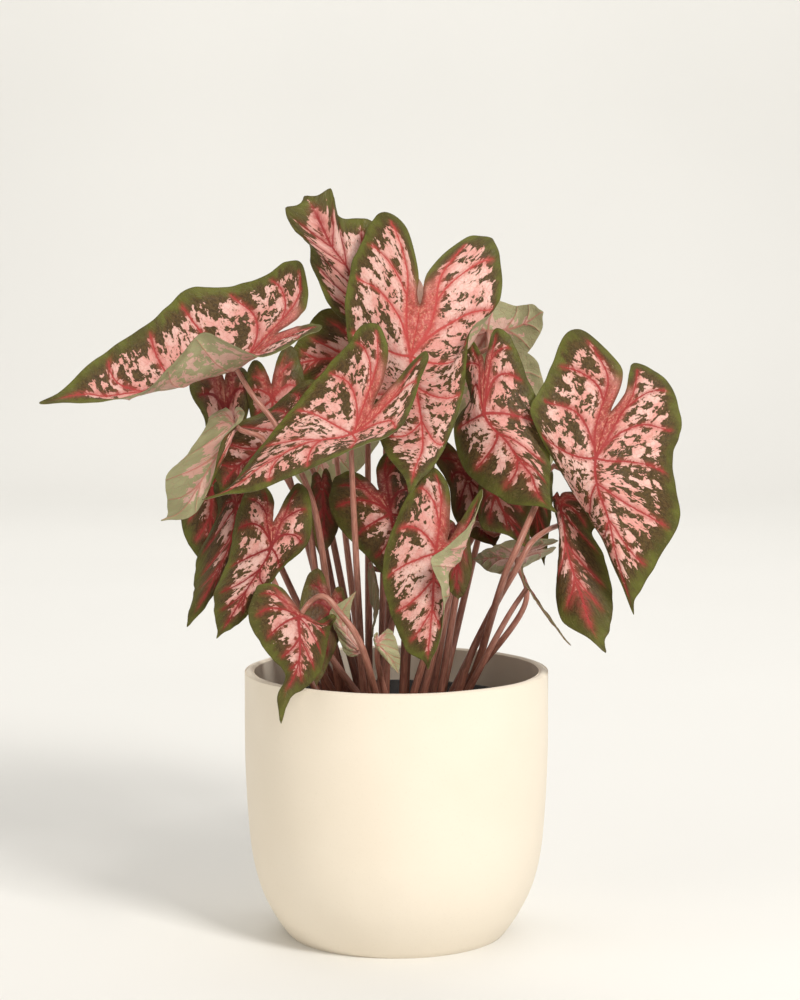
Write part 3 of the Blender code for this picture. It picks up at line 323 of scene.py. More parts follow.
# Colour of each leaf: share of green, painted shade for leaves that sit in shade, redness of the veins.
LEAF_LOOKS = {
    "a": (0.40, 0.00, 0.50), "b": (0.14, 0.08, 0.75), "c": (0.31, 0.00, 0.30), "d": (0.40, 0.00, 0.38),
    "e": (0.90, 0.35, 0.60), "f": (0.40, 0.00, 0.62), "g": (0.42, 0.00, 0.62), "h": (0.55, 0.05, 0.50),
    "i": (0.62, 0.05, 0.50), "k": (0.60, 0.45, 0.90), "l": (0.30, 0.20, 0.40), "m": (0.30, 0.00, 0.45),
    "n": (0.66, 0.03, 0.75), "o": (0.40, 0.05, 0.90), "p": (0.44, 0.03, 0.70), "q": (0.85, 0.25, 0.90),
    "r": (0.60, 0.05, 0.60), "s": (0.36, 0.00, 0.30), "t": (0.80, 0.00, 0.40), "u": (0.34, 0.08, 1.00),
    "v": (0.60, 0.10, 0.50), "w1": (0.36, 0.00, 0.30), "w2": (0.28, 0.10, 0.40), "x1": (0.45, 0.35, 1.00),
    "x2": (0.45, 0.15, 0.50), "y1": (0.16, 0.00, 0.40), "y2": (0.55, 0.00, 0.30), "y3": (0.60, 0.35, 0.20),
    "z": (0.95, 0.05, 0.20), "mr": (0.85, 0.20, 0.70), "bk1": (0.34, 0.0, 0.40), "bk2": (0.45, 0.0, 0.50),
    "bk3": (0.38, 0.0, 0.50),
}

# Main veins of the right half of the flat leaf: points, then half widths at both ends in millimetres.
MIDRIB = (((0.0, 0.03), (0.0, -0.35), (0.0, -0.68), (0.0, -0.97)), 1.25, 0.40)
CREASE = (((0.0, 0.0), (0.0, 0.12), (0.0, 0.235)), 0.55, 0.35)
HALF_VEINS = (
    (((0.0, 0.0), (0.05, 0.12), (0.105, 0.27), (0.165, 0.42), (0.225, 0.53), (0.265, 0.60)), 1.30, 0.40),
    (((0.025, 0.06), (0.13, 0.15), (0.28, 0.185), (0.43, 0.12)), 1.00, 0.35),
    (((0.0, 0.0), (0.13, -0.05), (0.28, -0.13), (0.41, -0.22)), 1.00, 0.32),
    (((0.0, -0.24), (0.10, -0.35), (0.21, -0.43), (0.31, -0.48)), 0.85, 0.30),
    (((0.0, -0.50), (0.07, -0.60), (0.14, -0.66), (0.20, -0.68)), 0.65, 0.25),
    (((0.125, 0.31), (0.22, 0.39), (0.33, 0.42), (0.42, 0.39)), 0.80, 0.30),
)

# Plain colours, in linear light. Pairs are the two ends of a slow change over the surface.
PINK = ((0.81, 0.535, 0.470), (0.73, 0.345, 0.300))
PINK_NET = (0.60, 0.20, 0.16)
PINK_FINE_NET = (0.62, 0.24, 0.19)
PINK_SHORE = (0.52, 0.22, 0.14)
FRESH_GREEN = ((0.125, 0.130, 0.022), (0.078, 0.070, 0.015))
DARK_OLIVE = ((0.105, 0.064, 0.021), (0.055, 0.031, 0.010))
GREEN_FLECK = (0.22, 0.17, 0.060)
GREEN_RIM = (0.060, 0.045, 0.016)
VEIN_RED = ((0.62, 0.085, 0.074), (0.190, 0.008, 0.010))
FLUSH_RED = ((0.60, 0.110, 0.092), (0.250, 0.017, 0.017))
FLUSH_SMOKE = (0.30, 0.050, 0.030)
FLUSH_SPARK = (0.76, 0.36, 0.24)
FLUSH_SHORE = (0.135, 0.040, 0.018)
UNDER_GREEN = ((0.36, 0.37, 0.19), (0.27, 0.285, 0.14))
UNDER_PINK = ((0.68, 0.44, 0.36), (0.58, 0.32, 0.26))
UNDER_NET = (0.42, 0.24, 0.18)
UNDER_VEIN = (0.46, 0.15, 0.12)
# Painted shade colour that leaves sitting in shade are darkened toward.
LEAF_SHADE = (0.11, 0.03, 0.025)
STALK_LOW = ((0.175, 0.062, 0.040), (0.31, 0.125, 0.082))
STALK_HIGH = ((0.33, 0.115, 0.080), (0.50, 0.235, 0.170))
STALK_PATCH = (0.17, 0.085, 0.045)
# Painted shade colour that stalks of leaves sitting in shade are darkened toward.
STALK_SHADE = (0.055, 0.016, 0.012)
CREAM = ((0.84, 0.755, 0.625), (0.87, 0.790, 0.665))
CREAM_SAND = (0.62, 0.53, 0.40)
BLACK = ((0.018, 0.018, 0.018), (0.075, 0.062, 0.050))
MIX_BROWN = ((0.022, 0.013, 0.008), (0.060, 0.036, 0.021))
MIX_CRUMB = (0.115, 0.070, 0.040)
MIX_CHIP = (0.16, 0.115, 0.075)
BACKDROP = ((0.80, 0.795, 0.770), (0.82, 0.815, 0.790))

# Patterns of the leaf: noise scale for each millimetre, detail, roughness, distortion.
BIG_PATCHES = (0.10, 1.0, 0.5, 0.2)
FINE_PATCHES = (0.205, 3.0, 0.58, 0.5)
SPECKS = (0.80, 2.0, 0.55, 0.4)
MOTTLE_SHARES = (0.55, 1.70, 0.45)
BAND_REACH = (11.0, 5.4)
BAND_LIFT = 0.52
GREEN_LIFT = (0.52, -0.19)
VEIN_HOLD = 0.12
MOTTLE_LEVEL = 0.72
BLOTCH_STEP = (0.622, 0.660)

# Stage, light and camera.
FLOOR_FRONT = -6.0
FLOOR_BACK = 2.3
FLOOR_HALF_WIDTH = 5.0
WALL_BEND = 0.6
WALL_BEND_STEPS = 12
WALL_TOP = 3.2
WORLD_COLOR = (1.0, 0.975, 0.94, 1.0)
WORLD_STRENGTH = 0.43
AIM = (0.0, 0.0, 0.2)
LIGHTS = (
    ("key", (0.95, -1.35, 1.45), AIM, (0.5, 0.5), 33.0, (1.0, 0.970, 0.93)),
    ("fill", (-1.6, -1.2, 0.9), AIM, (1.6, 1.6), 9.0, (1.0, 0.92, 0.80)),
    ("wall", (0.0, 1.1, 2.4), (0.0, 2.5, 0.3), (2.4, 1.2), 36.0, (1.0, 0.985, 0.96)),
)
LENS_MM = 90.0
SENSOR_MM = 36.0


def sight(points):
    """Turns rows of (across, up, forward) in millimetres into places in metres."""
    rows = np.asarray(points, dtype=float) * MM
    plane = np.zeros_like(rows)
    plane[:, 0] = rows[:, 0]
    plane[:, 1] = rows[:, 1] * math.sin(EYE_PITCH)
    plane[:, 2] = LOOK_HEIGHT + rows[:, 1] * math.cos(EYE_PITCH)
    eye = np.array((0.0, -EYE_DISTANCE * math.cos(EYE_PITCH),
                    LOOK_HEIGHT + EYE_DISTANCE * math.sin(EYE_PITCH)))
    toward = eye - plane
    reach = np.linalg.norm(toward, axis=1, keepdims=True)
    return plane + toward * (rows[:, 2:3] / reach)


def spline_kernel(first, second):
    gap = np.linalg.norm(first[:, None, :] - second[None, :, :], axis=2)
    return np.where(gap > 0.0, gap * gap * np.log(gap + 1e-12), 0.0)


def stretch(flat_marks, solid_marks, flat_points):
    """Thin-plate spline that carries the flat leaf onto its landmarks."""
    count = len(flat_marks)
    system = np.zeros((count + 3, count + 3))
    system[:count, :count] = spline_kernel(flat_marks, flat_marks) + np.eye(count) * 1e-4
    system[:count, count] = 1.0
    system[:count, count + 1:] = flat_marks
    system[count, :count] = 1.0
    system[count + 1:, :count] = flat_marks.T
    right = np.zeros((count + 3, 3))
    right[:count] = solid_marks
    weights = np.linalg.solve(system, right)
    rows = np.hstack((spline_kernel(flat_points, flat_marks),
                      np.ones((len(flat_points), 1)), flat_points))
    return rows @ weights


def closed_curve(points, share):
    """Smooth curve through a ring of points; share says how many pieces each span gets."""
    ring = np.asarray(points, dtype=float)
    count = len(ring)
    places = []
    for index in range(count):
        before, here = ring[index - 1], ring[index]
        after, beyond = ring[(index + 1) % count], ring[(index + 2) % count]
        for step in range(share[index]):
            t = step / share[index]
            places.append(0.5 * (2 * here + (after - before) * t
                                 + (2 * before - 5 * here + 4 * after - beyond) * t * t
                                 + (3 * here - before - 3 * after + beyond) * t ** 3))
    return np.array(places)


def flat_leaf(coarse):
    """Fan of rings from the midrib's base out to the margin, in the flat leaf."""
    corners = [FLAT_MARKS[name] for name in MARGIN_ORDER]
    share = [1] * len(corners)
    if not coarse:
        for name in ("RF", "RE", "RD", "LC", "LD", "LE"):
            share[MARGIN_ORDER.index(name)] = 2
    margin = closed_curve(corners, share)
    rim = len(margin)
    shares = (0.36, 0.7, 1.0) if not coarse else (0.5, 1.0)
    inner = margin[::2] * shares[0]
    rings = [inner] + [margin * part for part in shares[1:]]
    points = np.vstack([np.zeros((1, 2))] + rings)
    faces = []
    small = len(inner)
    for index in range(small):
        faces.append((0, 1 + index, 1 + (index + 1) % small))
    start = 1 + small
    for index in range(small):
        own = 1 + index
        following = 1 + (index + 1) % small
        first = start + 2 * index
        second = start + (2 * index + 1) % rim
        third = start + (2 * index + 2) % rim
        faces.extend(((own, first, second), (own, second, following), (following, second, third)))
    for level in range(len(shares) - 2):
        near = start + level * rim
        far = near + rim
        for index in range(rim):
            other = (index + 1) % rim
            faces.append((near + index, far + index, far + other))
            faces.append((near + index, far + other, near + other))
    return points, faces


def leaf_marks(leaf):
    names = list(leaf["marks"])
    flat = np.array([FLAT_MARKS[name] for name in names])
    solid = np.array([leaf["marks"][name] for name in names], dtype=float)
    return flat, solid


def vertex_normals(points, faces):
    normals = np.zeros_like(points)
    corners = np.array(faces)
    edge_a = points[corners[:, 1]] - points[corners[:, 0]]
    edge_b = points[corners[:, 2]] - points[corners[:, 0]]
    face_normals = np.cross(edge_a, edge_b)
    for column in range(3):
        np.add.at(normals, corners[:, column], face_normals)
    return normals / np.linalg.norm(normals, axis=1, keepdims=True)


def blade_root(leaf):
    """Where the midrib starts, and the way that the solid blade faces there."""
    flat, faces = flat_leaf(leaf.get("coarse", False))
    middle = sight(stretch(*leaf_marks(leaf), flat))
    return middle[0], vertex_normals(middle, faces)[0]


def smooth_route(stops, steps):
    """Even samples of a Catmull-Rom curve through the stops of a leaf stalk."""
    path = np.asarray(stops, dtype=float)
    padded = np.vstack((2 * path[0] - path[1], path, 2 * path[-1] - path[-2]))
    dense = []
    for index in range(1, len(padded) - 2):
        before, here, after, beyond = padded[index - 1:index + 3]
        for t in np.linspace(0.0, 1.0, 24, endpoint=False):
            dense.append(0.5 * (2 * here + (after - before) * t
                                + (2 * before - 5 * here + 4 * after - beyond) * t * t
                                + (3 * here - before - 3 * after + beyond) * t ** 3))
    dense.append(path[-1])
    dense = np.array(dense)
    lengths = np.concatenate(((0.0,), np.cumsum(np.linalg.norm(np.diff(dense, axis=0), axis=1))))
    wanted = np.linspace(0.0, lengths[-1], steps)
    return np.column_stack([np.interp(wanted, lengths, dense[:, axis]) for axis in range(3)])


def spread_feet():
    """Moves the stalks' feet apart until each has a hole of its own in the mix."""
    names = list(LEAVES)
    feet = np.array([LEAVES[name]["foot"] for name in names], dtype=float) * MM
    for _ in range(400):
        apart = feet[:, None, :] - feet[None, :, :]
        far = np.linalg.norm(apart, axis=2) + np.eye(len(names))
        lack = np.clip(FOOT_SPACING - far, 0.0, None) * (1.0 - np.eye(len(names)))
        feet += (apart / far[:, :, None] * lack[:, :, None]).sum(axis=1) * 0.3
        reach = np.linalg.norm(feet, axis=1, keepdims=True)
        feet *= np.minimum(1.0, FOOT_REACH / np.maximum(reach, 1e-9))
    return dict(zip(names, feet))


def stem_stops(leaf, foot, root, normal):
    """Places the stalk passes: above its hole in the mix, its bends, the blade's underside."""
    top = root - normal * (BLADE_THICKNESS / 2.0 + STEM_TOP_GAP)
    if leaf.get("fused"):
        top = root - normal * BLADE_THICKNESS * 0.2
    start = np.array((foot[0], foot[1], SOIL_TOP + STEM_RISE))
    stops = [start]
    if "via" in leaf:
        stops.extend(sight(leaf["via"]))
    if not leaf.get("direct"):
        reach = min(0.020, 0.22 * np.linalg.norm(top - start))
        stops.append(top - normal * reach * 0.75 - np.array((0.0, 0.0, reach * 0.65)))
    stops.append(top)
    return stops


def blade_cloud(leaf):
    """Points spread over a blade, for the stalks to keep clear of."""
    corners = [FLAT_MARKS[name] for name in MARGIN_ORDER]
    margin = closed_curve(corners, [2] * len(corners))
    flat = np.vstack([margin * part for part in np.linspace(0.12, 1.0, 9)])
    return sight(stretch(*leaf_marks(leaf), flat))


def near_blockers(path, name, routes, clouds, radius):
    """Blade points and stalk points close enough to matter to one stalk."""
    places = np.vstack([clouds[other] for other in clouds] + [routes[other] for other in routes])
    owners = np.concatenate([np.full(len(clouds[other]), other == name) for other in clouds]
                            + [np.full(ROUTE_POINTS, 2 * (other == name)) for other in routes])
    sizes = np.concatenate([np.zeros(len(clouds[other])) for other in clouds]
                           + [radius] * len(routes))
    far = np.linalg.norm(path[:, None, :] - places[None, :, :], axis=2).min(axis=0)
    close = (far < ROUTE_REACH) & (owners != 2)
    return places[close], owners[close], sizes[close]


def clear_routes(starts, clouds):
    """Lets every stalk give way to the blades and to the other stalks."""
    names = list(starts)
    wanted = {name: smooth_route(starts[name], ROUTE_POINTS) for name in names}
    routes = dict(wanted)
    span = np.linspace(0.0, 1.0, ROUTE_POINTS)
    radius = STEM_FOOT_RADIUS + (STEM_TOP_RADIUS - STEM_FOOT_RADIUS) * span
    hold = np.clip(np.minimum(span * 6.0, (1.0 - span) * 6.0), 0.0, 1.0)[:, None]
    for _ in range(ROUTE_ROUNDS):
        for name in names:
            path = routes[name]
            places, owners, sizes = near_blockers(path, name, routes, clouds, radius)
            own_top = (span > 0.72)[:, None] & (owners == 1)[None, :]
            for _ in range(ROUTE_TURNS):
                apart = path[:, None, :] - places[None, :, :]
                far = np.linalg.norm(apart, axis=2) + 1e-9
                lack = np.clip(radius[:, None] + sizes + ROUTE_CLEARANCE - far, 0.0, None)
                lack[own_top] = 0.0
                pushes = apart / far[:, :, None] * lack[:, :, None]
                push = (pushes.max(axis=1, initial=0.0) + pushes.min(axis=1, initial=0.0)) * 0.4
                stray = path - wanted[name]
                ease = np.zeros_like(path)
                ease[1:-1] = (stray[:-2] + stray[2:] - 2.0 * stray[1:-1]) * 0.3
                path = path + (push + ease) * hold
            routes[name] = path
    return routes


def pot_profile():
    rim_inner = POT_OUTER_RADIUS - POT_WALL
    profile = [(0.0, 0.0)] + list(POT_PROFILE)
    middle = (POT_OUTER_RADIUS + rim_inner) / 2.0
    for degrees in (30, 60, 90, 120, 150):
        angle = math.radians(degrees)
        profile.append((middle + (POT_WALL / 2.0) * math.cos(angle),
                        POT_HEIGHT - POT_RIM_ROUND + POT_RIM_ROUND * math.sin(angle)))
    profile.append((rim_inner, POT_STRAIGHT_TOP))
    for radius, height in reversed(POT_PROFILE[2:-1]):
        profile.append((radius - POT_WALL, max(height, POT_FLOOR + POT_FLOOR_ROUND)))
    profile.append((POT_FLOOR_RADIUS, POT_FLOOR))
    profile.append((0.0, POT_FLOOR))
    return profile


def tub_profile():
    lip = TUB_TOP - TUB_LIP
    inner_top = TUB_TOP_RADIUS - TUB_WALL
    return [
        (0.0, TUB_STAND), (TUB_FOOT_RADIUS - 0.001, TUB_STAND),
        (TUB_FOOT_RADIUS, TUB_STAND + 0.0015), (TUB_TOP_RADIUS, lip),
        (TUB_RIM_RADIUS, lip + 0.0004), (TUB_RIM_RADIUS, TUB_TOP - 0.0006),
        (TUB_RIM_RADIUS - TUB_RIM_ROUND, TUB_TOP), (inner_top + 0.0006, TUB_TOP),
        (inner_top, TUB_TOP - TUB_RIM_ROUND), (TUB_FOOT_RADIUS - TUB_WALL, TUB_STAND + TUB_WALL),
        (0.0, TUB_STAND + TUB_WALL),
    ]


def tub_inner_radius(height):
    low = TUB_STAND + TUB_WALL
    high = TUB_TOP - TUB_RIM_ROUND
    share = (height - low) / (high - low)
    foot = TUB_FOOT_RADIUS - TUB_WALL
    return foot + (TUB_TOP_RADIUS - TUB_WALL - foot) * share


def seed_of(name):
    return sum((index + 1) * ord(letter) for index, letter in enumerate(name)) % 9973


def soft_step(low, high, value):
    share = np.clip((value - low) / (high - low), 0.0, 1.0)
    return share * share * (3.0 - 2.0 * share)


def polyline(points, step):
    """Smooth line through a few points of the flat leaf, sampled at about one step."""
    path = np.column_stack((np.array(points, dtype=float), np.zeros(len(points))))
    rough = np.linalg.norm(np.diff(path, axis=0), axis=1).sum()
    return smooth_route(path, max(4, int(rough / step)))[:, :2]


def leaf_veins(rng, step, scale):
    """Every main vein as (points, half widths in flat units, side), with small random bends."""
    def vein(points, wide, narrow, side):
        line = polyline(points, step)
        return line, np.linspace(wide, narrow, len(line)) / scale, side

    veins = [vein(*MIDRIB, 0), vein(*CREASE, 0)]
    for side in (1.0, -1.0):
        for index, (points, wide, narrow) in enumerate(HALF_VEINS):
            bent = np.array(points)
            slide = rng.uniform(-0.018, 0.018) if index > 1 else 0.0
            bent[1:] += np.array((0.0, slide))
            bent[1:] += rng.uniform(-0.007, 0.007, (len(bent) - 1, 2))
            bent[:, 0] *= side
            veins.append(vein(bent, wide, narrow, side if index == 0 else 0))
    return veins


def line_distance(places, line, widths):
    """Distance from places to a line, with the line's half width where it is nearest."""
    start, ahead = line[:-1], np.diff(line, axis=0)
    length = (ahead ** 2).sum(axis=1)
    apart = places[:, None, :] - start[None, :, :]
    share = np.clip((apart * ahead[None]).sum(axis=2) / length, 0.0, 1.0)
    gap = np.linalg.norm(apart - share[:, :, None] * ahead[None], axis=2)
    nearest = gap.argmin(axis=1)
    rows = np.arange(len(places))
    part = share[rows, nearest]
    width = widths[nearest] * (1.0 - part) + widths[nearest + 1] * part
    return gap[rows, nearest], width


def inside(places, ring):
    """Which places lie inside a closed ring of points."""
    hit = np.zeros(len(places), dtype=bool)
    for index in range(len(ring)):
        first, second = ring[index - 1], ring[index]
        crosses = (first[1] > places[:, 1]) != (second[1] > places[:, 1])
        rise = second[1] - first[1]
        if abs(rise) < 1e-12:
            continue
        edge_x = first[0] + (places[:, 1] - first[1]) * (second[0] - first[0]) / rise
        hit ^= crosses & (places[:, 0] < edge_x)
    return hit


def rippled_margin(rng, cell):
    """The flat leaf's margin in steps of about one cell, with fine random ripples."""
    corners = np.array([FLAT_MARKS[name] for name in MARGIN_ORDER])
    spans = np.linalg.norm(np.roll(corners, -1, axis=0) - corners, axis=1)
    margin = closed_curve(corners, [max(2, int(span / cell * MARGIN_DENSITY)) for span in spans])
    outward = np.roll(margin, -1, axis=0) - np.roll(margin, 1, axis=0)
    outward = np.column_stack((outward[:, 1], -outward[:, 0]))
    outward /= np.linalg.norm(outward, axis=1, keepdims=True)
    along = np.linspace(0.0, 2.0 * math.pi, len(margin), endpoint=False)
    ripple = sum(np.sin(along * turns + rng.uniform(0.0, 6.28)) * size for turns, size in RIPPLES)
    return margin + outward * ripple[:, None] * RIPPLE_SHARE


def filling(rng, margin, guard, cell):
    """Rows of points inside the margin, jittered, and clear of the lines of the guard."""
    low, high = margin.min(axis=0), margin.max(axis=0)
    jitter = GRID_JITTER
    grid = []
    for number, height in enumerate(np.arange(low[1], high[1], cell * ROW_STEP)):
        start = low[0] + (number % 2) * cell * 0.5
        for across in np.arange(start, high[0], cell):
            grid.append((across + rng.uniform(-jitter, jitter) * cell,
                         height + rng.uniform(-jitter, jitter) * cell))
    grid = np.array(grid)
    grid = grid[inside(grid, margin)]
    near = np.full(len(grid), 9.0)
    for start in range(0, len(guard), 200):
        apart = grid[:, None, :] - guard[None, start:start + 200, :]
        near = np.minimum(near, np.linalg.norm(apart, axis=2).min(axis=1))
    return grid[near > cell * GUARD_ROOM]


def flat_mesh(rng, scale):
    """Triangles of the flat leaf whose edges follow the margin and both sides of each vein."""
    cell = CELL_MM / scale
    margin = rippled_margin(rng, cell)
    count = len(margin)
    veins = leaf_veins(rng, cell * VEIN_STEP, scale)
    points = [tuple(place) for place in margin]
    edges = [(index, (index + 1) % count) for index in range(count)]
    guards = [margin]
    for line, widths, _ in veins:
        ahead = np.gradient(line, axis=0)
        normal = np.column_stack((-ahead[:, 1], ahead[:, 0]))
        normal /= np.linalg.norm(normal, axis=1, keepdims=True) + 1e-12
        for shift in (-1.0, 0.0, 1.0):
            track = line + normal * (widths * shift)[:, None]
            track = track[inside(track, margin)]
            start = len(points)
            points.extend(tuple(place) for place in track)
            edges.extend((start + index, start + index + 1) for index in range(len(track) - 1))
            guards.append(track)
    points.extend(tuple(place) for place in filling(rng, margin, np.vstack(guards), cell))
    places = [Vector(place) for place in points]
    result = delaunay_2d_cdt(places, edges, [list(range(count))], 1, 1e-6, False)
    flat = np.array([(place[0], place[1]) for place in result[0]])
    faces = np.array([tuple(face) for face in result[2] if len(face) == 3])
    faces = faces[inside(flat[faces].mean(axis=1), margin)]
    return flat, faces, margin, veins


def rim_edges(faces):
    """Directed edges that only one triangle uses."""
    seen = {}
    for face in faces:
        for index in range(3):
            here, there = int(face[index]), int(face[(index + 1) % 3])
            seen[(here, there)] = True
    return [(here, there) for here, there in seen if (there, here) not in seen]


def lateral_height(flat):
    """Where the side vein through a place leaves the midrib, in flat units."""
    level = flat[:, 1].copy()
    for _ in range(8):
        slope = np.interp(level, (-0.6, -0.2, 0.0, 0.2, 0.5), (0.45, 0.35, 0.05, -0.15, -0.25))
        level = flat[:, 1] + slope * np.abs(flat[:, 0])
    return level


def wavy(flat, seed, size):
    return np.array([noise.noise(Vector((place[0] * size, place[1] * size, seed * 0.37)))
                     for place in flat])


def leaf_scale(leaf):
    """Millimetres for each unit of the flat leaf, from the margin's real length."""
    corners = [FLAT_MARKS[mark] for mark in MARGIN_ORDER]
    spread = sight(stretch(*leaf_marks(leaf), closed_curve(corners, [2] * len(corners))))
    girth = np.linalg.norm(np.roll(spread, -1, axis=0) - spread, axis=1).sum() * 1000.0
    return max(24.0, girth / 4.05)


def leaf_fields(flat, margin, veins, scale):
    """How far each place is from the margin, and how much vein, halo and notch flush it has."""
    ring = np.vstack((margin, margin[:1]))
    edge = line_distance(flat, ring, np.zeros(len(ring)))[0] * scale
    vein = np.zeros(len(flat))
    halo = np.zeros(len(flat))
    lobe = np.full(len(flat), 99.0)
    for line, widths, side in veins:
        gap, width = line_distance(flat, line, widths)
        strength = 0.5 + 0.5 * width / widths.max()
        vein = np.maximum(vein, np.clip(1.0 - gap / width, 0.0, 1.0) * strength)
        halo = np.maximum(halo, np.exp(-(gap * scale / (0.9 + 1.6 * width * scale)) ** 2))
        if side:
            lobe = np.minimum(lobe, gap * scale)
    high = np.clip(flat[:, 1], 0.0, 1.0)
    lobe_vein = np.interp(high, (0.0, 0.12, 0.27, 0.42, 0.60), (0.0, 0.05, 0.105, 0.165, 0.25))
    between = np.abs(flat[:, 0]) - lobe_vein
    glow = soft_step(-0.02, 0.10, flat[:, 1]) * np.exp(-(lobe / 2.6) ** 2)
    inner = soft_step(0.0, 0.06, flat[:, 1]) * (1.0 - soft_step(-1.5, 2.5, between * scale))
    fade = 1.0 - soft_step(0.26, 0.58, flat[:, 1])
    glow = np.clip(np.maximum(glow * 0.85, inner) * fade, 0.0, 1.0)
    return {"edge": edge, "vein": vein, "halo": halo, "glow": glow}


def build_blade(name, leaf, look):
    """Dense blade: puckered between the veins, waved at the margin, with its fields stored."""
    seed = seed_of(name)
    rng = np.random.default_rng(seed)
    scale = leaf_scale(leaf)
    flat, faces, margin, veins = flat_mesh(rng, scale)
    middle = sight(stretch(*leaf_marks(leaf), flat))
    normals = vertex_normals(middle, faces)
    fields = leaf_fields(flat, margin, veins, scale)
    edge, vein = fields["edge"], fields["vein"]

    near_edge = 0.25 + 0.75 * (1.0 - soft_step(0.0, 9.0, edge))
    lift = QUILT * soft_step(0.1, 1.0, 1.0 - fields["halo"]) * soft_step(0.5, 7.0, edge)
    lift += WAVE * wavy(flat, seed, 7.0) * near_edge
    lift += SMALL_WAVE * wavy(flat, seed + 7, 16.0)
    shape = middle + normals * lift[:, None]
    thin = BLADE_HALF * (0.55 + 0.45 * soft_step(0.0, 1.5, edge))
    top = shape + normals * (thin - VEIN_DIP * vein)[:, None]
    under = shape - normals * (thin + VEIN_RIDGE * vein)[:, None]
    count = len(flat)
    solid = [tuple(face) for face in faces.tolist()]
    solid += [(face[2] + count, face[1] + count, face[0] + count) for face in faces.tolist()]
    solid += [(there, here, here + count, there + count) for here, there in rim_edges(faces)]
    blade = new_piece("blade_" + name, np.vstack((top, under)), solid, "leaf_skin", 55.0)

    # Per-leaf share of green, amount of painted shade and redness, stored on every point.
    for field, value in zip(("green", "painted_shade", "red"), look):
        fields[field] = np.full(count, value)
    for field, values in fields.items():
        store(blade, field, "FLOAT", np.concatenate((values, values)))
    face = 0.0 if leaf.get("look") == "young_leaf" else 1.0
    store(blade, "upper", "FLOAT", np.concatenate((np.full(count, face), np.zeros(count))))
    place = np.column_stack((flat[:, 0] * scale * PATTERN_NARROW, lateral_height(flat) * scale,
                             np.full(count, seed * 0.013)))
    store(blade, "leafmm", "FLOAT_VECTOR", np.vstack((place, place)))
    return blade


def store(piece, field, kind, values):
    attribute = piece.data.attributes.new(field, kind, "POINT")
    slot = "vector" if kind == "FLOAT_VECTOR" else "value"
    attribute.data.foreach_set(slot, np.asarray(values, dtype=np.float32).ravel())


def new_piece(name, points, faces, look, angle):
    mesh = bpy.data.meshes.new(name)
    mesh.from_pydata([tuple(point) for point in points], [], faces)
    mesh.validate()
    mesh.update()
    piece = bpy.data.objects.new(name, mesh)
    bpy.context.scene.collection.objects.link(piece)
    mesh.materials.append(LOOKS[look])
    mesh.shade_smooth()
    mesh.set_sharp_from_angle(angle=math.radians(angle))
    return piece


def fine_tube(path, radii, sides):
    count = len(path)
    guide = np.array((1.0, 0.0, 0.0))
    points, faces = [], []
    for index in range(count):
        ahead = path[min(index + 1, count - 1)] - path[max(index - 1, 0)]
        ahead = ahead / np.linalg.norm(ahead)
        guide = guide - ahead * (guide @ ahead)
        guide = guide / np.linalg.norm(guide)
        side = np.cross(ahead, guide)
        for corner in range(sides):
            angle = 2.0 * math.pi * corner / sides
            spoke = guide * math.cos(angle) + side * math.sin(angle)
            points.append(path[index] + radii[index] * spoke)
    for index in range(count - 1):
        for corner in range(sides):
            a = index * sides + corner
            b = index * sides + (corner + 1) % sides
            faces.append((a, b, b + sides, a + sides))
    faces.append(tuple(reversed(range(sides))))
    faces.append(tuple(range((count - 1) * sides, count * sides)))
    return np.array(points), faces


def build_stalk(name, foot, route, root, normal):
    """Leaf stalk from a swollen foot in the mix up to the blade's underside."""
    upper = smooth_route(route, STALK_RINGS)
    share = np.linspace(0.0, 1.0, STALK_RINGS)
    radii = STEM_FOOT_RADIUS + (STEM_TOP_RADIUS - STEM_FOOT_RADIUS) * share
    radii = radii * (1.0 + STALK_SWELL * np.exp(-(share / 0.06) ** 2))
    sunk = (foot[0], foot[1], SOIL_TOP - STEM_DEPTH + 0.0005)
    path = np.vstack((sunk, upper, root - normal * BLADE_HALF))
    radii = np.concatenate(((radii[0],), radii, (STEM_TIP_RADIUS * 1.2,)))
    points, faces = fine_tube(path, radii, STALK_SIDES)
    stalk = new_piece("stalk_" + name, points, faces, "stalk_skin", 60.0)
    lengths = np.cumsum(np.linalg.norm(np.diff(path, axis=0), axis=1))
    lengths = np.repeat(np.concatenate(((0.0,), lengths)) * 1000.0, STALK_SIDES)
    around = np.tile(np.arange(STALK_SIDES) / STALK_SIDES * 2.0 * math.pi, len(path))
    store(stalk, "along", "FLOAT", np.repeat(np.linspace(0.0, 1.0, len(path)), STALK_SIDES))
    store(stalk, "grain", "FLOAT_VECTOR", np.column_stack(
        (np.cos(around) * 1.6, np.sin(around) * 1.6, lengths * 0.05 + seed_of(name) * 0.017)))
    # Per-leaf amount of painted shade, the same as its blade's.
    store(stalk, "painted_shade", "FLOAT", np.full(len(points), LEAF_LOOKS[name][1]))
    return stalk


def ring_points(radius, height, sides):
    turns = [2.0 * math.pi * index / sides for index in range(sides)]
    return [(radius * math.cos(turn), radius * math.sin(turn), height) for turn in turns]


def turned(name, profile, sides, look, angle):
    points = [(0.0, 0.0, profile[0][1])]
    for radius, height in profile[1:-1]:
        points.extend(ring_points(radius, height, sides))
    points.append((0.0, 0.0, profile[-1][1]))
    last = len(points) - 1
    rings = len(profile) - 2
    faces = []
    for index in range(sides):
        other = (index + 1) % sides
        faces.append((0, 1 + other, 1 + index))
        top = 1 + (rings - 1) * sides
        faces.append((last, top + index, top + other))
        for ring in range(rings - 1):
            low = 1 + ring * sides
            high = low + sides
            faces.append((low + index, low + other, high + other, high + index))
    return new_piece(name, points, faces, look, angle)


def fine_profile(profile, step):
    """Smooth run through a profile's points, with its two ends kept."""
    path = np.column_stack((np.array(profile, dtype=float), np.zeros(len(profile))))
    length = np.linalg.norm(np.diff(path, axis=0), axis=1).sum()
    return [tuple(row[:2]) for row in smooth_route(path, int(length / step))]


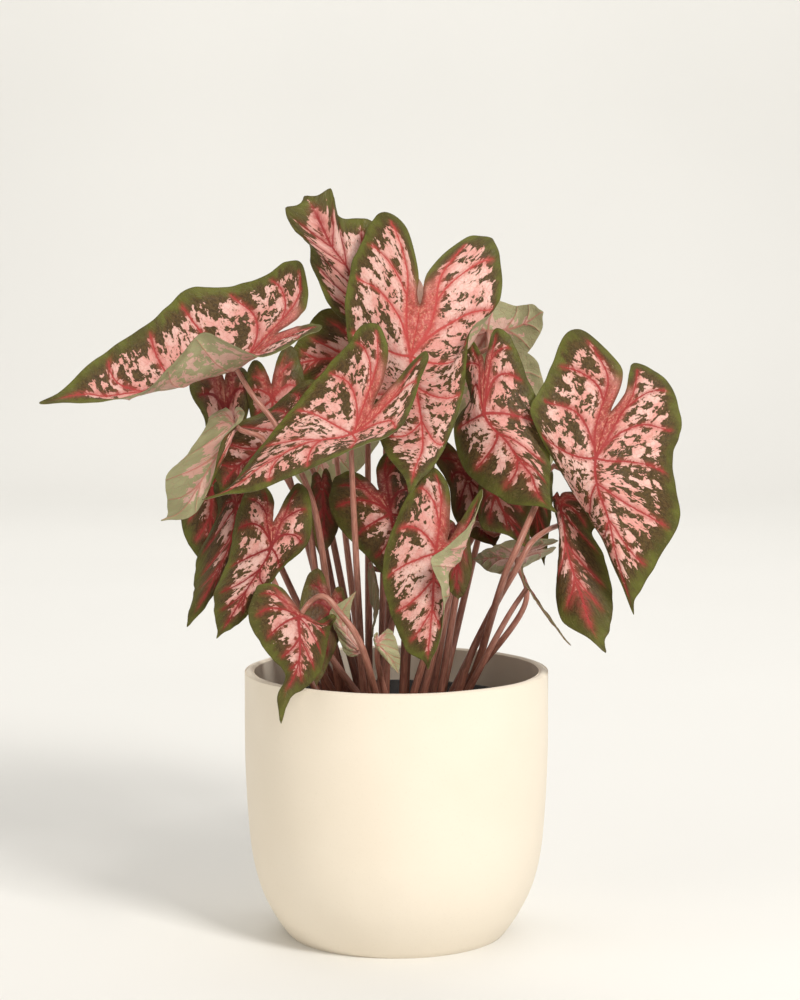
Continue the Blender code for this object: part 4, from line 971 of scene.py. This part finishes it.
def build_pot():
    """Cream cover pot, turned finely, with an unevenness too small to see as dents."""
    raw = pot_profile()
    profile = [raw[0]] + fine_profile(raw[1:-2], POT_STEP) + raw[-2:]
    pot = turned("cover_pot", profile, POT_SIDES, "ceramic", 40.0)
    for vertex in pot.data.vertices:
        place = vertex.co
        reach = math.hypot(place.x, place.y)
        if place.z > 0.0005 and reach > 0.02:
            shift = noise.noise(place * 28.0) * 0.00022 + noise.noise(place * 90.0) * 0.00005
            vertex.co = place * (1.0 + shift / max(0.03, reach))
    return pot


def build_tub():
    return turned("tub", tub_profile(), TUB_SIDES, "black_plastic", 35.0)


def mix_height(x, y, rim, lumps):
    """Height of the rough top of the mix, which falls off toward the nursery pot's wall."""
    bump = sum(noise.noise(Vector((x, y, 0.0)) * size) * depth for size, depth in lumps)
    fall = max(0.0, (math.hypot(x, y) - SOIL_FLAT_RADIUS) / (rim - SOIL_FLAT_RADIUS))
    return SOIL_TOP - SOIL_SINK + bump - SOIL_MOUND * fall


def add_crumbs(places, faces, feet, rim):
    """Strews loose crumbs over the mix, clear of the stalks."""
    rng = np.random.default_rng(MIX_SEED)
    stems = np.array(list(feet.values()))
    for _ in range(CRUMB_COUNT):
        reach = rim * math.sqrt(rng.uniform(0.0, 0.93))
        turn = rng.uniform(0.0, 2.0 * math.pi)
        x, y = reach * math.cos(turn), reach * math.sin(turn)
        if np.linalg.norm(stems - np.array((x, y)), axis=1).min() < CRUMB_STALK_ROOM:
            continue
        size = rng.uniform(*CRUMB_SIZES)
        height = mix_height(x, y, rim, SOIL_LUMPS) + size * 0.25
        start = len(places)
        shape = rng.uniform(0.6, 1.4, 3) * size
        spin = rng.uniform(0.0, 3.14)
        cos, sin = math.cos(spin), math.sin(spin)
        for corner in CRUMB_CORNERS:
            rough = 1.0 + rng.uniform(-0.25, 0.25)
            a, b, c = (corner[axis] * shape[axis] * rough for axis in range(3))
            places.append((x + a * cos - b * sin, y + a * sin + b * cos, height + c * 0.7))
        faces.extend(tuple(start + corner for corner in face) for face in CRUMB_FACES)


def build_mix(feet):
    """Crumbly potting mix: a closed body with a rough top and loose crumbs."""
    bottom = TUB_STAND + TUB_WALL + GAP
    rim = tub_inner_radius(SOIL_TOP - SOIL_MOUND) - 3 * GAP
    sides, rings = SOIL_SIDES, SOIL_RINGS
    flat = [(0.0, 0.0, SOIL_TOP)]
    for ring in range(1, rings + 1):
        flat.extend(ring_points(rim * ring / rings, SOIL_TOP, sides))
    lumps = SOIL_LUMPS + (SOIL_GRIT,)
    places = [(x, y, mix_height(x, y, rim, lumps)) for x, y, _ in flat]
    faces = [(0, 1 + index, 1 + (index + 1) % sides) for index in range(sides)]
    for ring in range(rings - 1):
        near = 1 + ring * sides
        far = near + sides
        for index in range(sides):
            other = (index + 1) % sides
            faces.append((near + index, far + index, far + other, near + other))
    outer = 1 + (rings - 1) * sides
    base = len(places)
    places.extend(ring_points(tub_inner_radius(bottom) - 3 * GAP, bottom, sides))
    for index in range(sides):
        other = (index + 1) % sides
        faces.append((outer + index, base + index, base + other, outer + other))
    faces.append(tuple(reversed(range(base, base + sides))))
    add_crumbs(places, faces, feet, rim)
    return new_piece("mix", places, faces, "potting_mix", 180.0)


class Graph:
    """Small helper that adds and links shader nodes."""

    def __init__(self, name):
        self.material = bpy.data.materials.new(name)
        self.material.use_nodes = True
        self.tree = self.material.node_tree
        self.shader = self.tree.nodes["Principled BSDF"]

    def put(self, socket, value):
        if isinstance(value, bpy.types.NodeSocket):
            self.tree.links.new(value, socket)
        else:
            socket.default_value = value

    def finish(self, color, rough, specular=0.5):
        for name, value in (("Base Color", color), ("Roughness", rough),
                            ("Specular IOR Level", specular)):
            self.put(self.shader.inputs[name], value)

    def field(self, name, vector=False):
        node = self.tree.nodes.new("ShaderNodeAttribute")
        node.attribute_name = name
        return node.outputs["Vector" if vector else "Fac"]

    def own_place(self):
        return self.tree.nodes.new("ShaderNodeTexCoord").outputs["Object"]

    def math(self, kind, first, second=0.0, third=0.0):
        node = self.tree.nodes.new("ShaderNodeMath")
        node.operation = kind
        for socket, value in zip(node.inputs, (first, second, third)):
            self.put(socket, value)
        return node.outputs[0]

    def plus(self, first, second):
        return self.math("ADD", first, second)

    def minus(self, first, second):
        return self.math("SUBTRACT", first, second)

    def times(self, first, second):
        return self.math("MULTIPLY", first, second)

    def line(self, value, slope, shift):
        return self.math("MULTIPLY_ADD", value, slope, shift)

    def ramp(self, value, low, high, start=0.0, end=1.0):
        node = self.tree.nodes.new("ShaderNodeMapRange")
        node.interpolation_type = "SMOOTHSTEP"
        for socket, number in zip(node.inputs, (value, low, high, start, end)):
            self.put(socket, number)
        return node.outputs[0]

    def mix(self, share, first, second):
        node = self.tree.nodes.new("ShaderNodeMix")
        node.data_type = "RGBA"
        node.blend_type = "MIX"
        self.put(node.inputs[0], share)
        for socket, value in ((node.inputs[6], first), (node.inputs[7], second)):
            self.put(socket, value if isinstance(value, bpy.types.NodeSocket) else (*value, 1.0))
        return node.outputs[2]

    def noise(self, vector, scale, detail=2.0, rough=0.5, warp=0.0):
        node = self.tree.nodes.new("ShaderNodeTexNoise")
        self.put(node.inputs["Vector"], vector)
        for name, value in (("Scale", scale), ("Detail", detail), ("Roughness", rough),
                            ("Distortion", warp)):
            node.inputs[name].default_value = value
        return node.outputs["Fac"]

    def cells(self, vector, scale, feature="DISTANCE_TO_EDGE"):
        node = self.tree.nodes.new("ShaderNodeTexVoronoi")
        node.feature = feature
        self.put(node.inputs["Vector"], vector)
        node.inputs["Scale"].default_value = scale
        return node.outputs["Distance"]

    def stretch(self, vector, factors, shift=(0.0, 0.0, 0.0)):
        node = self.tree.nodes.new("ShaderNodeMapping")
        self.put(node.inputs["Vector"], vector)
        node.inputs["Scale"].default_value = factors
        node.inputs["Location"].default_value = shift
        return node.outputs[0]

    def bump(self, height, distance, strength):
        node = self.tree.nodes.new("ShaderNodeBump")
        node.inputs["Distance"].default_value = distance
        node.inputs["Strength"].default_value = strength
        self.put(node.inputs["Height"], height)
        self.put(self.shader.inputs["Normal"], node.outputs[0])


def blotch_level(g, edge, halo, green, patterns):
    """Height of the green pattern: high at the margin and in blotches, held down by the veins."""
    mottle = [g.times(pattern, share) for pattern, share in zip(patterns, MOTTLE_SHARES)]
    mottle = g.plus(g.plus(mottle[0], mottle[1]), mottle[2])
    band = g.ramp(edge, 1.0, g.line(green, *BAND_REACH), BAND_LIFT, 0.0)
    belt = g.ramp(edge, 5.0, 16.0, 0.06, -0.03)
    level = g.plus(g.plus(mottle, g.plus(band, belt)), g.line(green, *GREEN_LIFT))
    return g.minus(g.minus(level, g.times(halo, VEIN_HOLD)), MOTTLE_LEVEL)


def leaf_skin():
    """Both faces of every blade, from the fields that the blade carries."""
    g = Graph("leaf_skin")
    edge, vein, halo, glow = (g.field(name) for name in ("edge", "vein", "halo", "glow"))
    green, painted_shade, red, upper = (g.field(name) for name in ("green", "painted_shade", "red", "upper"))
    place = g.field("leafmm", vector=True)

    # Patterns.
    big = g.noise(place, *BIG_PATCHES)
    fine = g.noise(g.stretch(place, (1.0, 1.1, 1.0), (31.0, 7.0, 3.0)), *FINE_PATCHES)
    speck = g.noise(g.stretch(place, (1.0, 1.0, 1.0), (5.0, 50.0, 9.0)), *SPECKS)
    warm = g.noise(g.stretch(place, (1.0, 1.0, 1.0), (90.0, 12.0, 5.0)), 0.09, 2.0, 0.5)
    slow = g.ramp(warm, 0.35, 0.65)
    net = g.ramp(g.cells(g.stretch(place, (1.2, 1.0, 1.0)), 0.36), 0.0, 0.09, 1.0, 0.0)
    net_place = g.stretch(place, (1.1, 1.0, 1.0), (17.0, 3.0, 1.0))
    net_fine = g.ramp(g.cells(net_place, 0.85), 0.0, 0.12, 1.0, 0.0)
    ray_place = g.stretch(place, (0.9, 0.9, 1.0), (3.0, 80.0, 2.0))
    rays = g.ramp(g.noise(ray_place, 0.75, 3.0, 0.6), 0.34, 0.60)

    # Where the blade is green.
    level = blotch_level(g, edge, halo, green, (big, fine, speck))
    blotch = g.math("MAXIMUM", g.ramp(level, *BLOTCH_STEP), g.ramp(edge, 0.8, 1.9, 1.0, 0.0))
    blotch = g.times(blotch, g.ramp(glow, 0.20, 0.65, 1.0, 0.0))

    # Pink ground with its net of fine veins, browner beside the blotches.
    pale = g.mix(g.ramp(warm, 0.38, 0.64), *PINK)
    pale = g.mix(g.times(net, 0.36), pale, PINK_NET)
    pale = g.mix(g.times(net_fine, 0.20), pale, PINK_FINE_NET)
    pale = g.mix(g.times(g.ramp(level, 0.50, 0.63), 0.40), pale, PINK_SHORE)

    # Green margin and darker blotches.
    tone = g.plus(g.times(edge, 0.11), g.line(fine, 1.3, -0.65))
    olive = g.mix(g.ramp(speck, 0.42, 0.60), *DARK_OLIVE)
    leafy = g.mix(g.ramp(tone, 0.10, 0.80), g.mix(slow, *FRESH_GREEN), olive)
    leafy = g.mix(g.times(g.ramp(speck, 0.60, 0.66), 0.30), leafy, GREEN_FLECK)
    leafy = g.mix(g.ramp(edge, 0.0, 0.8, 0.40, 0.0), leafy, GREEN_RIM)
    skin = g.mix(blotch, pale, leafy)

    # Red beside the veins, red flush beside the notch, then the veins themselves.
    flush = g.mix(red, *FLUSH_RED)
    soft = g.times(g.times(halo, g.ramp(edge, 1.5, 6.0)), g.line(rays, 0.60, 0.34))
    skin = g.mix(soft, skin, flush)
    skin = g.mix(g.times(g.ramp(glow, 0.0, 0.9), g.line(rays, 0.30, 0.68)), skin, flush)
    smoke = g.times(g.ramp(fine, 0.50, 0.62), g.ramp(glow, 0.1, 0.6, 0.0, 0.55))
    skin = g.mix(smoke, skin, FLUSH_SMOKE)
    sparks = g.times(g.ramp(speck, 0.54, 0.62), g.ramp(glow, 0.1, 0.6, 0.0, 0.45))
    skin = g.mix(sparks, skin, FLUSH_SPARK)
    shore = g.times(g.ramp(edge, 0.3, 4.5, 0.80, 0.0), g.ramp(glow, 0.0, 0.5))
    skin = g.mix(shore, skin, FLUSH_SHORE)
    strong = g.times(g.ramp(vein, 0.0, 0.42), g.ramp(edge, 1.8, 7.5, 0.0, 0.95))
    skin = g.mix(strong, skin, g.mix(red, *VEIN_RED))

    # Pale underside.
    under = g.mix(g.times(blotch, 0.90), g.mix(slow, *UNDER_PINK), g.mix(slow, *UNDER_GREEN))
    under = g.mix(g.times(net, 0.25), under, UNDER_NET)
    under = g.mix(g.times(g.ramp(vein, 0.05, 0.5), 0.65), under, UNDER_VEIN)
    skin = g.mix(upper, under, skin)
    # Painted shade: leaves that sit in shade are darkened by their per-leaf amount.
    skin = g.mix(g.times(painted_shade, 0.8), skin, LEAF_SHADE)

    g.finish(skin, g.line(fine, 0.16, 0.38), 0.20)
    g.shader.inputs["Subsurface Weight"].default_value = 0.08
    g.shader.inputs["Subsurface Radius"].default_value = (0.0016, 0.0008, 0.0005)
    height = g.plus(g.times(net, -0.7), g.times(net_fine, -0.35))
    g.bump(g.plus(height, g.times(speck, 0.8)), 0.00018, 0.8)
    return g.material


def stalk_skin():
    g = Graph("stalk_skin")
    grain, along, painted_shade = g.field("grain", vector=True), g.field("along"), g.field("painted_shade")
    streak = g.noise(grain, 3.2, 3.0, 0.6)
    patch = g.noise(g.stretch(grain, (0.4, 0.4, 3.0)), 1.4, 2.0, 0.5)
    band = g.ramp(streak, 0.38, 0.62)
    skin = g.mix(g.ramp(along, 0.05, 0.75), g.mix(band, *STALK_LOW), g.mix(band, *STALK_HIGH))
    skin = g.mix(g.times(g.ramp(patch, 0.52, 0.70), 0.45), skin, STALK_PATCH)
    # Painted shade: stalks of leaves that sit in shade are darkened by the same per-leaf amount.
    skin = g.mix(g.times(painted_shade, 0.7), skin, STALK_SHADE)
    g.finish(skin, 0.38, 0.45)
    g.bump(streak, 0.00012, 0.7)
    return g.material


def ceramic():
    g = Graph("ceramic")
    where = g.own_place()
    cloud = g.noise(where, 9.0, 3.0, 0.55)
    sand = g.noise(where, 900.0, 2.0, 0.6)
    skin = g.mix(g.ramp(cloud, 0.35, 0.65), *CREAM)
    skin = g.mix(g.times(g.ramp(sand, 0.60, 0.72), 0.10), skin, CREAM_SAND)
    g.finish(skin, g.line(cloud, 0.12, 0.52), 0.35)
    g.bump(g.plus(g.times(sand, 0.25), g.noise(where, 160.0)), 0.00018, 0.6)
    return g.material


def black_plastic():
    g = Graph("black_plastic")
    where = g.own_place()
    dust = g.noise(where, 60.0, 3.0, 0.6)
    g.finish(g.mix(g.times(g.ramp(dust, 0.5, 0.7), 0.35), *BLACK), g.line(dust, 0.3, 0.32))
    g.bump(g.noise(where, 500.0), 0.00008, 0.5)
    return g.material


def potting_mix():
    g = Graph("potting_mix")
    where = g.own_place()
    crumb = g.noise(where, 330.0, 4.0, 0.65)
    cloud = g.noise(where, 70.0, 3.0, 0.6)
    chip = g.ramp(g.cells(where, 260.0, "F1"), 0.05, 0.16, 1.0, 0.0)
    skin = g.mix(g.ramp(cloud, 0.38, 0.62), *MIX_BROWN)
    skin = g.mix(g.times(g.ramp(crumb, 0.58, 0.70), 0.6), skin, MIX_CRUMB)
    skin = g.mix(g.times(chip, 0.5), skin, MIX_CHIP)
    g.finish(skin, 0.92)
    g.bump(crumb, 0.0009, 0.9)
    return g.material


def backdrop_look():
    g = Graph("backdrop_look")
    cloud = g.noise(g.own_place(), 1.5)
    g.finish(g.mix(g.ramp(cloud, 0.3, 0.7), *BACKDROP), 0.9, 0.1)
    return g.material


LOOKS = {
    "leaf_skin": leaf_skin(), "stalk_skin": stalk_skin(), "ceramic": ceramic(),
    "black_plastic": black_plastic(), "potting_mix": potting_mix(),
    "backdrop_look": backdrop_look(),
}


def settle(piece, slot, *nodes):
    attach(piece, "root")
    if nodes:
        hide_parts(*nodes)


def build_plant():
    """All blades and stalks; gives back the places of the stalks' feet."""
    feet = spread_feet()
    roots = {name: blade_root(leaf) for name, leaf in LEAVES.items()}
    starts = {name: stem_stops(leaf, feet[name], *roots[name]) for name, leaf in LEAVES.items()}
    clouds = {name: blade_cloud(leaf) for name, leaf in LEAVES.items()}
    routes = clear_routes(starts, clouds)
    for name, leaf in LEAVES.items():
        blade = build_blade(name, leaf, LEAF_LOOKS[name])
        settle(blade, leaf.get("look", "leaf"), "leaf_" + name)
        stalk = build_stalk(name, feet[name], routes[name], *roots[name])
        if leaf.get("fused"):
            settle(stalk, "stalk")
        else:
            settle(stalk, "stalk", "stem_" + name)
    return feet


def build_stage():
    """Pale floor that turns up into a plain wall well behind the plant."""
    profile = [(FLOOR_FRONT, 0.0), (FLOOR_BACK, 0.0)]
    for index in range(1, WALL_BEND_STEPS + 1):
        angle = math.radians(90.0 * index / WALL_BEND_STEPS)
        profile.append((FLOOR_BACK + WALL_BEND * math.sin(angle),
                        WALL_BEND - WALL_BEND * math.cos(angle)))
    profile.append((FLOOR_BACK + WALL_BEND, WALL_TOP))
    points, faces = [], []
    for depth, height in profile:
        points.extend(((-FLOOR_HALF_WIDTH, depth, height), (FLOOR_HALF_WIDTH, depth, height)))
    for index in range(0, 2 * len(profile) - 2, 2):
        faces.append((index, index + 1, index + 3, index + 2))
    floor = new_piece("floor", points, faces, "backdrop_look", 180.0)


def area_light(name, place, target, size, power, color):
    lamp = bpy.data.lights.new(name, "AREA")
    lamp.shape = "RECTANGLE"
    lamp.size, lamp.size_y = size
    lamp.energy = power
    lamp.color = color
    holder = bpy.data.objects.new(name, lamp)
    bpy.context.scene.collection.objects.link(holder)
    holder.location = place
    holder.rotation_mode = "QUATERNION"
    holder.rotation_quaternion = (Vector(target) - Vector(place)).to_track_quat("-Z", "Y")


def build_light():
    world = bpy.data.worlds.new("studio")
    world.use_nodes = True
    background = world.node_tree.nodes["Background"]
    background.inputs["Color"].default_value = WORLD_COLOR
    background.inputs["Strength"].default_value = WORLD_STRENGTH
    bpy.context.scene.world = world
    for light in LIGHTS:
        area_light(*light)


def build_camera():
    bpy.context.scene.view_settings.view_transform = "Standard"
    lens = bpy.data.cameras.new("camera")
    lens.lens = LENS_MM
    lens.sensor_width = SENSOR_MM
    lens.clip_start = 0.05
    lens.clip_end = 20.0
    camera = bpy.data.objects.new("camera", lens)
    bpy.context.scene.collection.objects.link(camera)
    camera.location = (EYE_SHIFT, -EYE_DISTANCE * math.cos(EYE_PITCH),
                       LOOK_HEIGHT + EYE_DISTANCE * math.sin(EYE_PITCH))
    camera.rotation_euler = (math.radians(90.0) - EYE_PITCH, 0.0, 0.0)
    bpy.context.scene.camera = camera


plant_feet = build_plant()
settle(build_pot(), "pot", "pot")
settle(build_tub(), "nursery_pot", "nursery_pot")
settle(build_mix(plant_feet), "soil", "soil")
build_stage()
build_light()
build_camera()
